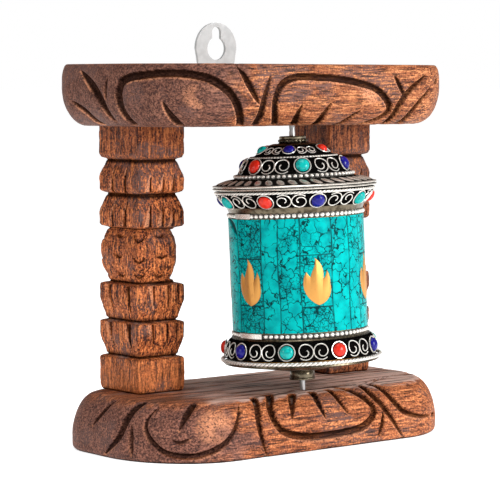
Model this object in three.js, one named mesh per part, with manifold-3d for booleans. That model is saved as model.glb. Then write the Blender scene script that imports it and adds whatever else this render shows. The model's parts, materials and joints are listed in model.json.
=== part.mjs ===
// Prayer wheel on a carved wooden stand.
// Millimetres, +Z up, +X to the object's left-to-right length, -Y towards the front.
// The origin is on the underside of the base board, midway along it.

import * as THREE from 'three';
import { mergeVertices } from 'three/addons/utils/BufferGeometryUtils.js';
import Module from 'manifold-3d';

const wasm = await Module();
wasm.setup();

// ---------------------------------------------------------------- driving dimensions

const FIT_GAP = 0.3; // between neighbouring pieces of the leaning wheel
const SCREW_GAP = 0.1; // round a screw in its hole

// Boards: a flat-backed plank with a full, softly rounded front and ends.
const BOARD_BACK = 45;
const BOARD_FRONT = -47;
const BOARD_ROUND_IN = 13; // how far the rounding comes in from the outline
const BASE_THICKNESS = 29;
const BASE_HALF_LENGTH = 103.5;
const BASE_ROUND_RISE = 22; // how far the rounding reaches through the board
const TOP_THICKNESS = 31.3;
const TOP_HALF_LENGTH = 105;
const TOP_ROUND_RISE = 20;
const FRONT_CORNER = { x: 45, y: 51 };
const BACK_CORNER = { x: 33, y: 30 };
const BACK_OVERSIZE = 9; // the outline runs past the flat back and is planed off there

// Posts: seven carved blocks one above the other.
const POST_SPACING = 128;
const POST_WIDTH = 29;
const POST_DEPTH = 34;
const POST_BACK = 43;
const POST_HEIGHT = 137;

// Axle and its lean: the two blind holes are not quite above each other.
const AXLE_RADIUS = 1.5;
const AXLE_FOOT = { x: 0.3, y: -27.2 };
const AXLE_LEAN = { x: -3.5, y: 4.8 }; // at the top board, from the foot
const AXLE_SOCKET = 12; // depth of each end in its board
const AXLE_CLEARANCE = 0.35;

// Wheel, measured along the axle from the top of the base board.
const DRUM_RADIUS = 35;
const TILE_THICKNESS = 1.2;
const TILE_BOTTOM = 32.8;
const TILE_TOP = 90.6;
const TUBE_WALL = 0.8;
const BAND_INNER = DRUM_RADIUS - TILE_THICKNESS;
const TUBE_OUTER = BAND_INNER - FIT_GAP;
const TUBE_BOTTOM = 17.6;
const PLATE_SEAT = TUBE_BOTTOM - FIT_GAP; // raised ring that the tube, the roll and the band stand on
const TUBE_TOP = 108.6;
const ROLL_TOP = 103;
const RIM_RADIUS = 42.5;
const RING_SIDES = 32; // facets round the wheel

// Stones in their bezels.
const FRONT_ANGLE = -128.8; // degrees, the side of the wheel that faces front left
const BAND_STONES = 9;
const TIER_STONES = 6;
const BAND_STONE = { radius: 4.4, height: 2.0 };
const TIER_STONE = { radius: 4.3, height: 2.0 };

// Brass flames let into the turquoise.
const FLAMES = 6;
const FLAME_ANGLE = -46;
const FLAME_PITCH = 60.8;
const FLAME_MIDDLE = 58.6;
const FLAME_DEPTH = 0.9;

// Hanger plate and screws.
const PLATE_THICKNESS = 1.6;
const PLATE_TOP = 220.2;
const PLATE_BOTTOM = 173;
const PLATE_RADIUS = 13.7;
const PLATE_FOOT_RADIUS = 9;
const KEYHOLE_RADIUS = 6.2;
const KEYHOLE_CENTRE = 206.3;
const KEYSLOT_HALF_WIDTH = 3.05;
const KEYSLOT_TOP = 218;
const HANGER_SCREW_HEIGHTS = [190, 180.5];
const HANGER_SCREW_RADIUS = 1.4;
const HANGER_HEAD_RADIUS = 2.7;
const HANGER_HEAD_SINK = 0.1; // the heads end just below the plate's back
const POST_SCREW_RADIUS = 1.9;
const POST_SCREW_LENGTH = 46;

const POST_TOP = BASE_THICKNESS + POST_HEIGHT;
const STAND_TOP = POST_TOP + TOP_THICKNESS;
const POST_MIDDLE_Y = POST_BACK - POST_DEPTH / 2;

// ---------------------------------------------------------------- materials

const finish = (color, roughness, metalness) =>
  new THREE.MeshStandardMaterial({ color, roughness, metalness });

const wood = () => finish('#9a5a3c', 0.6, 0);
const steel = () => finish('#c3c6c6', 0.35, 0.9);
const silver = () => finish('#a9a296', 0.35, 0.9);
const brass = () => finish('#d39a45', 0.35, 0.9);
const turquoise = () => finish('#12b5ac', 0.3, 0);
const coral = () => finish('#e0452f', 0.25, 0);
const lapis = () => finish('#1f1c9a', 0.2, 0);
const paper = () => finish('#e6dcc4', 0.9, 0);

// ---------------------------------------------------------------- solids

function toSolid(geometry) {
  const bare = geometry.clone();
  bare.deleteAttribute('normal');
  bare.deleteAttribute('uv');
  const merged = mergeVertices(bare, 1e-4);
  return new wasm.Manifold(new wasm.Mesh({
    numProp: 3,
    vertProperties: new Float32Array(merged.attributes.position.array),
    triVerts: new Uint32Array(merged.index.array),
  }));
}

function toGeometry(solid) {
  const mesh = solid.getMesh();
  const geometry = new THREE.BufferGeometry();
  geometry.setAttribute('position', new THREE.BufferAttribute(mesh.vertProperties, 3));
  geometry.setIndex(new THREE.BufferAttribute(mesh.triVerts, 1));
  geometry.computeVertexNormals();
  return geometry;
}

/** The first geometry with all the others cut away from it. */
function cut(geometry, ...tools) {
  return toGeometry(tools.reduce((solid, tool) => solid.subtract(toSolid(tool)), toSolid(geometry)));
}

function common(geometry, other) {
  return toGeometry(toSolid(geometry).intersect(toSolid(other)));
}

/** A turned piece: the outline is [radius, height] pairs, and the lathe's axis becomes +Z. */
function turned(outline, sides = RING_SIDES) {
  const points = outline.map(([radius, height]) => new THREE.Vector2(radius, height));
  return new THREE.LatheGeometry(points, sides).rotateX(Math.PI / 2);
}

/** A turned ring, whose outline closes on itself. */
function ring(outline, sides = RING_SIDES) {
  return turned([...outline, outline[0]], sides);
}

/** A ring of round wire. */
function wireRing(radius, height, wireRadius, wireSides = 8) {
  const outline = [];
  for (let i = 0; i < wireSides; i += 1) {
    const angle = (2 * Math.PI * i) / wireSides;
    outline.push([radius + wireRadius * Math.cos(angle), height + wireRadius * Math.sin(angle)]);
  }
  return ring(outline);
}

/** An upright round bar from one height to another. */
function bar(radius, low, high, sides = 20) {
  return turned([[0, low], [radius, low], [radius, high], [0, high]], sides);
}

function box(low, high) {
  const size = high.map((value, i) => value - low[i]);
  const middle = high.map((value, i) => (value + low[i]) / 2);
  return new THREE.BoxGeometry(...size).translate(...middle);
}

function piece(name, geometry, material) {
  const mesh = new THREE.Mesh(geometry, material);
  mesh.name = name;
  return mesh;
}

// ---------------------------------------------------------------- axle placing

/** A group whose +Z is the leaning axle and whose origin is the axle's foot on the base board. */
function axleGroup() {
  const lean = new THREE.Vector3(AXLE_LEAN.x, AXLE_LEAN.y, POST_HEIGHT).normalize();
  const group = new THREE.Group();
  group.position.set(AXLE_FOOT.x, AXLE_FOOT.y, BASE_THICKNESS);
  group.quaternion.setFromUnitVectors(new THREE.Vector3(0, 0, 1), lean);
  group.updateMatrixWorld();
  return group;
}

/** The bore for one end of the axle, in the stand's frame. */
function axleBore(low, high) {
  const radius = AXLE_RADIUS + AXLE_CLEARANCE;
  return bar(radius, low, high).applyMatrix4(axleGroup().matrixWorld);
}

// ---------------------------------------------------------------- boards

/** The plan of a board: straight back, elliptical corners, larger at the front. */
function boardPlan(halfLength) {
  const back = BOARD_BACK + BACK_OVERSIZE;
  const plan = new THREE.Shape();
  const quarter = Math.PI / 2;
  const corner = (side, edge, size, start) => plan.absellipse(
    side * (halfLength - size.x), edge, size.x, size.y, start, start + quarter, false, 0);
  corner(1, back - BACK_CORNER.y, BACK_CORNER, 0);
  corner(-1, back - BACK_CORNER.y, BACK_CORNER, quarter);
  corner(-1, BOARD_FRONT + FRONT_CORNER.y, FRONT_CORNER, 2 * quarter);
  corner(1, BOARD_FRONT + FRONT_CORNER.y, FRONT_CORNER, 3 * quarter);
  return plan;
}

/** A board lying on z = 0 with its rounded edge at the top and a flat, planed back. */
function boardBlank(halfLength, thickness, roundRise) {
  const lens = new THREE.ExtrudeGeometry(boardPlan(halfLength), {
    depth: 2 * (thickness - roundRise),
    bevelThickness: roundRise,
    bevelSize: BOARD_ROUND_IN,
    bevelOffset: -BOARD_ROUND_IN,
    bevelSegments: 5,
    curveSegments: 7,
  }).translate(0, 0, roundRise - thickness);
  const reach = 2 * halfLength;
  return common(lens, box([-reach, -reach, 0], [reach, BOARD_BACK, thickness + 1]));
}

/** A countersunk screw pointing up from z = 0, with a slot in its head. */
function woodScrew() {
  const head = 2 * POST_SCREW_RADIUS;
  const shank = turned([
    [0, 0], [head, 0], [POST_SCREW_RADIUS, 2.4],
    [POST_SCREW_RADIUS, POST_SCREW_LENGTH - 4], [0, POST_SCREW_LENGTH],
  ], 12);
  return cut(shank, box([-head - 1, -0.5, -1], [head + 1, 0.5, 1]));
}

/** The hole that a wood screw stands in: the screw's own outline, a little wider. */
function woodScrewHole() {
  const radius = POST_SCREW_RADIUS + SCREW_GAP;
  const head = 2 * POST_SCREW_RADIUS + SCREW_GAP;
  return turned([
    [0, -1], [head, -1], [head, 0], [radius, 2.4],
    [radius, POST_SCREW_LENGTH - 3.6], [0, POST_SCREW_LENGTH + SCREW_GAP],
  ], 12);
}

const SCREW_SINK = 0.6; // how far the heads sit below the boards' outer faces

/** Places a screw or its hole under a post (from below) or above it (from above). */
function atPost(geometry, side, fromBelow) {
  if (!fromBelow) geometry.rotateX(Math.PI);
  const height = fromBelow ? SCREW_SINK : STAND_TOP - SCREW_SINK;
  return geometry.translate((side * POST_SPACING) / 2, POST_MIDDLE_Y, height);
}

function baseBoard() {
  const blank = boardBlank(BASE_HALF_LENGTH, BASE_THICKNESS, BASE_ROUND_RISE);
  return piece('base_board', cut(
    blank,
    axleBore(-AXLE_SOCKET - AXLE_CLEARANCE, 5),
    atPost(woodScrewHole(), -1, true),
    atPost(woodScrewHole(), 1, true),
  ), wood());
}

function topBoard() {
  const blank = boardBlank(TOP_HALF_LENGTH, TOP_THICKNESS, TOP_ROUND_RISE)
    .scale(1, 1, -1).translate(0, 0, STAND_TOP);
  blank.setIndex([...blank.index.array].reverse()); // mirroring turned the faces round
  return piece('top_board', cut(
    blank,
    axleBore(POST_HEIGHT - 5, POST_HEIGHT + AXLE_SOCKET + AXLE_CLEARANCE),
    atPost(woodScrewHole(), -1, false),
    atPost(woodScrewHole(), 1, false),
    ...HANGER_SCREW_HEIGHTS.map((height) => atHanger(hangerScrewHole(), height)),
  ), wood());
}

// ---------------------------------------------------------------- posts

/** Heights and widths down a post, the widths as a share of the full block. */
function postOutline() {
  const groove = 0.78;
  return [
    [0.95, 0], [1, 1.6], [1, 17], [groove, 18.5], // plain foot block
    [0.84, 19.5], [1, 28], [1, 35.5], [groove, 37], // two blocks that narrow downwards
    [0.84, 38], [1, 47], [1, 54.5], [groove, 56.3],
    [0.82, 58], [0.93, 64], [0.97, 71], [0.93, 78], [0.82, 83], [groove, 84.3], // barrel block
    [1, 86], [1, 93], [0.82, 101], [groove, 101.9], // two blocks that narrow upwards
    [1, 103.5], [1, 110.5], [0.82, 118.5], [groove, 119.6],
    [1, 121], [1, POST_HEIGHT], // plain head block
  ];
}

function post(name, side) {
  const corner = Math.SQRT1_2; // a four-sided lathe measures its radius to the corner
  const outline = postOutline().map(([share, height]) => [share * corner, height]);
  const blocks = turned([[0, 0], ...outline, [0, POST_HEIGHT]], 4)
    .rotateZ(Math.PI / 4)
    .scale(POST_WIDTH, POST_DEPTH, 1)
    .translate((side * POST_SPACING) / 2, POST_MIDDLE_Y, BASE_THICKNESS);
  return piece(name, cut(
    blocks,
    atPost(woodScrewHole(), side, true),
    atPost(woodScrewHole(), side, false),
  ), wood());
}

// ---------------------------------------------------------------- hanger

function hangerPlate() {
  const crown = PLATE_TOP - PLATE_RADIUS;
  const foot = PLATE_BOTTOM + PLATE_FOOT_RADIUS;
  const outline = new THREE.Shape();
  outline.absarc(0, crown, PLATE_RADIUS, 0, Math.PI, false);
  outline.absarc(0, foot, PLATE_FOOT_RADIUS, Math.PI, 2 * Math.PI, false);
  const slotTop = KEYSLOT_TOP - KEYSLOT_HALF_WIDTH;
  const meet = Math.asin(KEYSLOT_HALF_WIDTH / KEYHOLE_RADIUS);
  const keyhole = new THREE.Path();
  keyhole.absarc(0, KEYHOLE_CENTRE, KEYHOLE_RADIUS, Math.PI / 2 - meet, Math.PI / 2 + meet, true);
  keyhole.absarc(0, slotTop, KEYSLOT_HALF_WIDTH, Math.PI, 0, true);
  outline.holes.push(keyhole);
  const plate = new THREE.ExtrudeGeometry(outline, {
    depth: PLATE_THICKNESS, bevelEnabled: false, curveSegments: 10,
  }).rotateX(Math.PI / 2).translate(0, BOARD_BACK + PLATE_THICKNESS, 0);
  const holes = HANGER_SCREW_HEIGHTS.map((height) => atHanger(hangerScrewHole(), height));
  return piece('hanger_plate', cut(plate, ...holes), steel());
}

/** A countersunk screw along -Z, sunk into a face at z = 0. */
function hangerScrew() {
  return turned([
    [0, -13], [HANGER_SCREW_RADIUS, -11], [HANGER_SCREW_RADIUS, -1.4],
    [HANGER_HEAD_RADIUS, -HANGER_HEAD_SINK], [0, -HANGER_HEAD_SINK],
  ], 12);
}

/** The countersunk hole of a hanger screw, through the plate and into the board. */
function hangerScrewHole() {
  const radius = HANGER_SCREW_RADIUS + SCREW_GAP;
  const head = HANGER_HEAD_RADIUS + SCREW_GAP;
  return turned([
    [0, -13.2], [radius, -11], [radius, -1.4], [head, -HANGER_HEAD_SINK], [head, 1], [0, 1],
  ], 12);
}

/** Places a hanger screw or its hole on the back of the plate. */
function atHanger(geometry, height) {
  return geometry.rotateX(-Math.PI / 2).translate(0, BOARD_BACK + PLATE_THICKNESS, height);
}

// ---------------------------------------------------------------- wheel
// The plate, bands, skirt and tiers are pressed sheet about 1 mm thick, so each is an open shell.

const BORE = AXLE_RADIUS + FIT_GAP; // hole for the axle in every wheel piece

function axleRod() {
  const top = POST_HEIGHT + AXLE_SOCKET;
  return piece('axle_rod', bar(AXLE_RADIUS, -AXLE_SOCKET, top, 16), steel());
}

function bottomBush() {
  return piece('bottom_bush', ring([
    [BORE, 5.7], [5.9, 5.7], [6.7, 6.5], [6.7, 9.6], [5.8, 10.2], [BORE, 10.2],
  ], 24), silver());
}

function bottomPlate() {
  return piece('bottom_plate', ring([
    [BORE, 10.5], [8, 10.5], [40.2, 15.6], [40.2, 16.5],
    [34.2, PLATE_SEAT], [31.4, PLATE_SEAT], [30.4, 15.1], [8, 11.5], [BORE, 11.5],
  ]), silver());
}

function ropeEdge() {
  return piece('rope_edge', wireRing(40.9, 17.7, 0.95), silver());
}

function lowerBand() {
  return piece('lower_band', ring([
    [BAND_INNER, TUBE_BOTTOM], [39.4, 18.9], [39.2, 20.4], [38.6, 25.6], [34.7, 29.5],
    [BAND_INNER, 29.5], [BAND_INNER, 28.7], [37.5, 25.1], [38.2, 20.2], [38.3, 19.7],
    [BAND_INNER, 18.7],
  ]), silver());
}

function upperBand() {
  return piece('upper_band', ring([
    [BAND_INNER, 93.7], [34.6, 93.7], [34.9, 95.4], [38.2, 99.4], [41, 103.4],
    [39.7, 103.4], [37.3, 100], [BAND_INNER, 95.9],
  ]), silver());
}

function drumTube() {
  return piece('drum_tube', ring([
    [TUBE_OUTER - TUBE_WALL, TUBE_BOTTOM], [TUBE_OUTER, TUBE_BOTTOM],
    [TUBE_OUTER, TUBE_TOP], [TUBE_OUTER - TUBE_WALL, TUBE_TOP],
  ]), brass());
}

function mantraRoll() {
  const outer = TUBE_OUTER - TUBE_WALL - FIT_GAP;
  return piece('mantra_roll', ring([
    [BORE, TUBE_BOTTOM], [outer, TUBE_BOTTOM], [outer, ROLL_TOP], [BORE, ROLL_TOP],
  ], 24), paper());
}

function beadRing(name, height, radius) {
  return piece(name, wireRing(radius, height, 1.1, 6), silver());
}

function capSkirt() {
  return piece('cap_skirt', ring([
    [BORE, 109.6], [31.6, 109.6], [39.2, 107.3], [39.2, 103.7], [40.4, 103.7], [40.4, 105.3],
    [RIM_RADIUS, 105.5], [RIM_RADIUS, 107.4], [32, 110.6], [BORE, 110.6],
  ]), silver());
}

function lowerTier() {
  return piece('lower_tier', ring([
    [27.8, 110.9], [28.8, 110.9], [29.2, 112.6], [27.6, 115.2], [26.4, 118], [22.6, 121],
    [BORE, 121], [BORE, 120], [22.2, 120], [25.4, 117.4], [26.6, 114.8], [28.1, 112.4],
  ]), silver());
}

function upperTier() {
  return piece('upper_tier', ring([
    [18.8, 121.3], [21.9, 121.3], [19.3, 122.3], [17.6, 124.6], [12, 127.2], [8.6, 128],
    [BORE, 128], [BORE, 127], [8.4, 127], [11.6, 126.2], [16.8, 123.9],
  ]), silver());
}

function topCollar() {
  return piece('top_collar', ring([
    [BORE, 128.3], [7.6, 128.3], [7.6, 129.8], [6.5, 130.2], [6.5, 131.7], [BORE, 131.7],
  ], 24), silver());
}

// ---------------------------------------------------------------- brass flames in the turquoise

/** A three-tongued flame, 24 mm tall and 15 mm wide, in X and Y. */
function flameOutline() {
  const flame = new THREE.Shape();
  flame.moveTo(0.4, -12);
  flame.bezierCurveTo(5.4, -11, 8.4, -6.4, 7, -1.4);
  flame.quadraticCurveTo(7.2, 2.2, 5.4, 5.4);
  flame.quadraticCurveTo(4.8, 2.8, 3.2, 1);
  flame.bezierCurveTo(3.8, 5, 3, 9, -1, 12);
  flame.bezierCurveTo(0, 8, -2.6, 6, -3.4, 2.4);
  flame.quadraticCurveTo(-4.6, 3.2, -5.6, 5);
  flame.bezierCurveTo(-8.6, 0, -8, -8, 0.4, -12);
  return flame;
}

/** The flame's prism through the shell at one of its six places, wider all round by the margin. */
function flamePrism(index, margin) {
  const angle = THREE.MathUtils.degToRad(FRONT_ANGLE + FLAME_ANGLE + index * FLAME_PITCH);
  return new THREE.ExtrudeGeometry(flameOutline(), {
    depth: 8,
    bevelEnabled: margin > 0,
    bevelSize: margin,
    bevelThickness: 1,
    bevelSegments: 1,
    curveSegments: 4,
  }).translate(0, 0, DRUM_RADIUS - 4)
    .rotateX(Math.PI / 2).rotateZ(Math.PI / 2) // upright, facing +X
    .rotateZ(angle)
    .translate(0, 0, FLAME_MIDDLE);
}

/** A tube between two radii over the height of the turquoise. */
function tileTube(inner, outer) {
  return ring([
    [inner, TILE_BOTTOM], [outer, TILE_BOTTOM], [outer, TILE_TOP], [inner, TILE_TOP],
  ], 2 * RING_SIDES);
}

function turquoiseShell() {
  const pocketDepth = tileTube(DRUM_RADIUS - FLAME_DEPTH, DRUM_RADIUS + 2);
  const pockets = [];
  for (let i = 0; i < FLAMES; i += 1) {
    pockets.push(common(flamePrism(i, FIT_GAP), pocketDepth));
  }
  const shell = cut(tileTube(BAND_INNER, DRUM_RADIUS), ...pockets);
  return piece('turquoise_shell', shell, turquoise());
}

function brassFlames() {
  const inlay = tileTube(DRUM_RADIUS - FLAME_DEPTH + FIT_GAP, DRUM_RADIUS);
  const flames = [];
  for (let i = 0; i < FLAMES; i += 1) {
    flames.push(piece(`brass_flame_${i + 1}`, common(flamePrism(i, 0), inlay), brass()));
  }
  return flames;
}

// ---------------------------------------------------------------- stones

/** A cabochon in its bezel, standing up from z = 0. */
function cabochon({ radius, height }) {
  return turned([
    [0, 0], [radius, 0], [radius, 0.4 * height], [0.62 * radius, 0.88 * height], [0, height],
  ], 12);
}

/** A row of stones round the wheel on a slope that leans back by tilt from the vertical. */
function stoneRow({ name, count, size, start, radius, height, tilt, colours }) {
  const row = [];
  for (let i = 0; i < count; i += 1) {
    const angle = THREE.MathUtils.degToRad(FRONT_ANGLE + start + (i * 360) / count);
    const geometry = cabochon(size)
      .rotateY(Math.PI / 2 - THREE.MathUtils.degToRad(tilt))
      .translate(radius, 0, height)
      .rotateZ(angle);
    row.push(piece(`${name}_${i + 1}`, geometry, colours[i % colours.length]()));
  }
  return row;
}

function stones() {
  return [
    ...stoneRow({
      name: 'upper_band_stone', count: BAND_STONES, size: BAND_STONE, start: -102.5,
      radius: 38.5, height: 99, tilt: -37, colours: [lapis, turquoise, coral],
    }),
    ...stoneRow({
      name: 'lower_band_stone', count: BAND_STONES, size: BAND_STONE, start: -91.8,
      radius: 39.3, height: 23.2, tilt: 8, colours: [coral, lapis, turquoise],
    }),
    ...stoneRow({
      name: 'tier_stone', count: TIER_STONES, size: TIER_STONE, start: -111.7,
      radius: 28.4, height: 116.6, tilt: 32, colours: [lapis, coral, turquoise],
    }),
  ];
}

// ---------------------------------------------------------------- assembly

function stand() {
  const group = new THREE.Group();
  group.add(
    baseBoard(),
    topBoard(),
    post('left_post', -1),
    post('right_post', 1),
    hangerPlate(),
    piece('base_screw_left', atPost(woodScrew(), -1, true), steel()),
    piece('base_screw_right', atPost(woodScrew(), 1, true), steel()),
    piece('top_screw_left', atPost(woodScrew(), -1, false), steel()),
    piece('top_screw_right', atPost(woodScrew(), 1, false), steel()),
    piece('hanger_screw_upper', atHanger(hangerScrew(), HANGER_SCREW_HEIGHTS[0]), steel()),
    piece('hanger_screw_lower', atHanger(hangerScrew(), HANGER_SCREW_HEIGHTS[1]), steel()),
  );
  return group;
}

function wheel() {
  const group = axleGroup();
  group.add(
    axleRod(),
    bottomBush(),
    bottomPlate(),
    ropeEdge(),
    lowerBand(),
    beadRing('lower_bead_ring', 31.15, BAND_INNER + 1.1),
    turquoiseShell(),
    ...brassFlames(),
    drumTube(),
    mantraRoll(),
    beadRing('upper_bead_ring', 92.1, BAND_INNER + 1.1),
    upperBand(),
    capSkirt(),
    beadRing('tier_bead_ring', 112, 30.8),
    lowerTier(),
    upperTier(),
    topCollar(),
    ...stones(),
  );
  return group;
}

const prayerWheel = new THREE.Group();
prayerWheel.add(stand(), wheel());

export default prayerWheel;
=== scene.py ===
"""A prayer wheel on its carved wooden stand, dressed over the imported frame.

The stand is two carved boards, two carved posts and a hanger plate. The wheel is a leaning rod, a
drum faced with turquoise, and pressed silver parts set with stones. Every shape is worked out in
millimetres and brought to metres when its piece is finished.
"""

import json
import logging
import math
from collections.abc import Callable, Sequence
from dataclasses import dataclass, field
from enum import Enum
from typing import ClassVar

import bmesh
import bpy
import numpy as np
from mathutils import Matrix, Vector, noise


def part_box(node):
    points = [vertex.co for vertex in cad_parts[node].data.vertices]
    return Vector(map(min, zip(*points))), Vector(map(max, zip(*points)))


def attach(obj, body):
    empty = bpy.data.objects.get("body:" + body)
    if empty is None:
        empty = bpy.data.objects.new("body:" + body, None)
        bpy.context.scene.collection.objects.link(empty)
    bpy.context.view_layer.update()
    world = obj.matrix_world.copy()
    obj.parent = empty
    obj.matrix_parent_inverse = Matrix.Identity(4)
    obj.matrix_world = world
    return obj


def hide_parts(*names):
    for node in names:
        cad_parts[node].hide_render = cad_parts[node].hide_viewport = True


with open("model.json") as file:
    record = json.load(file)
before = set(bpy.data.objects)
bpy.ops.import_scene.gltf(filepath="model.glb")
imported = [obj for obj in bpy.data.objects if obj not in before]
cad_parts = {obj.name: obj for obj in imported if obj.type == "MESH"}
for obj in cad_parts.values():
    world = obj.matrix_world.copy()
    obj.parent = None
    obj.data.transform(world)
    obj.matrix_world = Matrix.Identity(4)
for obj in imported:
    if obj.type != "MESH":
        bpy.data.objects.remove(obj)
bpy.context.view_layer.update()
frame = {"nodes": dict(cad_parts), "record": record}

log = logging.getLogger("prayer_wheel")

MM = 0.001
TURN = math.tau
SAME_PLACE = 1e-4
FAR_AWAY = 99.0
SHEET_METAL = 0.3
WIRE_SIDES = 6
Point2 = tuple[float, float]
Point3 = tuple[float, float, float]
Colour = tuple[float, float, float]


class Body(Enum):
    """The bodies of the frame that pieces ride on."""

    STAND = "stand"
    WHEEL = "wheel"


class Slot(Enum):
    """The record's material slots."""

    WOOD = "wood"
    STEEL = "steel"
    SILVER = "silver"
    BRASS = "brass"
    TURQUOISE = "turquoise"
    CORAL = "coral"
    LAPIS = "lapis"
    PAPER = "paper"


class Grain(Enum):
    """Which way the grain of a wooden piece runs, as the size of its fibres along each axis."""

    ALONG_BOARD = (14.0, 1.0, 1.0)
    ALONG_POST = (1.0, 1.0, 14.0)


# ---------------------------------------------------------------- node graphs


class Graph:
    """Builds the nodes of one material."""

    def __init__(self, name: str) -> None:
        """Starts a material that holds one Principled shader."""
        self.material = bpy.data.materials.new(name)
        self.material.use_nodes = True
        self.tree = self.material.node_tree
        self.shader = self.tree.nodes["Principled BSDF"]

    def node(self, kind: str, inputs: dict | None = None, **settings: object) -> bpy.types.Node:
        """Adds a node.

        Args:
            kind: the node's type name.
            inputs: values or sockets for its inputs, by name or number.
            **settings: attributes of the node itself.

        Returns:
            The new node.
        """
        made = self.tree.nodes.new(kind)
        for key, value in settings.items():
            setattr(made, key, value)
        for key, value in (inputs or {}).items():
            self.feed(made.inputs[key], value)
        return made

    def feed(self, socket: bpy.types.NodeSocket, value: object) -> None:
        """Links a socket to another one, or sets its value."""
        if isinstance(value, bpy.types.NodeSocket):
            self.tree.links.new(value, socket)
        elif isinstance(value, tuple) and len(value) == 3 and socket.type == "RGBA":
            socket.default_value = (*value, 1.0)
        else:
            socket.default_value = value

    def place(self, stretch: Sequence[float] = (1.0, 1.0, 1.0), shift: float = 0.0) -> object:
        """Object coordinates in millimetres, each divided by its stretch."""
        where = self.node("ShaderNodeTexCoord").outputs["Object"]
        scale = tuple(1.0 / (MM * part) for part in stretch)
        moved = {"Vector": where, "Scale": scale, "Location": (shift, shift, shift)}
        return self.node("ShaderNodeMapping", moved).outputs["Vector"]

    def noise(self, where: object, size: float, detail: float = 3.0, bend: float = 0.0) -> object:
        """Noise from 0 to 1 whose lumps are about size across."""
        inputs = {"Vector": where, "Scale": 1.0 / size, "Detail": detail, "Distortion": bend}
        return self.node("ShaderNodeTexNoise", inputs).outputs[0]

    def maths(self, operation: str, first: object, second: object) -> object:
        """One sum on numbers, clamped to 0 and 1."""
        node = self.node("ShaderNodeMath", {0: first, 1: second}, operation=operation)
        node.use_clamp = True
        return node.outputs[0]

    def vector(self, operation: str, inputs: dict) -> object:
        """One sum on vectors."""
        return self.node("ShaderNodeVectorMath", inputs, operation=operation).outputs[0]

    def times(self, first: object, second: object) -> object:
        """The product of two numbers, clamped to 0 and 1."""
        return self.maths("MULTIPLY", first, second)

    def plus(self, first: object, second: object) -> object:
        """The sum of two numbers, clamped to 0 and 1."""
        return self.maths("ADD", first, second)

    def axis(self, vector: object, name: str) -> object:
        """One part of a vector."""
        return self.node("ShaderNodeSeparateXYZ", {0: vector}).outputs[name]

    def shade(self, colour: object, towards: object, where: object, amount: float) -> object:
        """Mixes a colour towards another by amount, where a number is 1."""
        return self.mix(self.times(where, amount), colour, towards)

    def band(self, value: object, low: float, high: float) -> object:
        """Runs from 0 to 1, smoothly, as value goes from low to high."""
        inputs = {"Value": value, "From Min": low, "From Max": high}
        node = self.node("ShaderNodeMapRange", inputs, interpolation_type="SMOOTHSTEP")
        return node.outputs[0]

    def range(self, value: object, low: float, high: float) -> object:
        """Turns 0 to 1 into low to high."""
        return self.node(
            "ShaderNodeMapRange", {"Value": value, "To Min": low, "To Max": high}).outputs[0]

    def mix(self, share: object, low: object, high: object) -> object:
        """Mixes two colours: low where share is 0, high where it is 1."""
        node = self.node("ShaderNodeMix", data_type="RGBA")
        self.feed(node.inputs[0], share)
        self.feed(node.inputs[6], low)
        self.feed(node.inputs[7], high)
        return node.outputs[2]

    def attribute(self, name: str) -> object:
        """A number stored on the mesh."""
        return self.node("ShaderNodeAttribute", attribute_name=name).outputs["Fac"]

    def bump(self, height: object, depth: float, strength: float = 1.0) -> None:
        """Roughens the surface by height times depth, in millimetres."""
        inputs = {"Height": height, "Distance": depth * MM, "Strength": strength}
        self.feed(self.shader.inputs["Normal"], self.node("ShaderNodeBump", inputs).outputs[0])

    def finish(self, **inputs: object) -> bpy.types.Material:
        """Sets the shader's sockets, whose names have _ for a space, and returns the material."""
        for key, value in inputs.items():
            self.feed(self.shader.inputs[key.replace("_", " ")], value)
        return self.material


# ---------------------------------------------------------------- finishes


@dataclass(frozen=True)
class WoodPatterns:
    """The patterns that the layers of a wooden finish share, as numbers on the surface."""

    fibre: object
    streak: object
    patch: object
    speck: object
    tone: object
    reach: object
    upward: object


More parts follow.
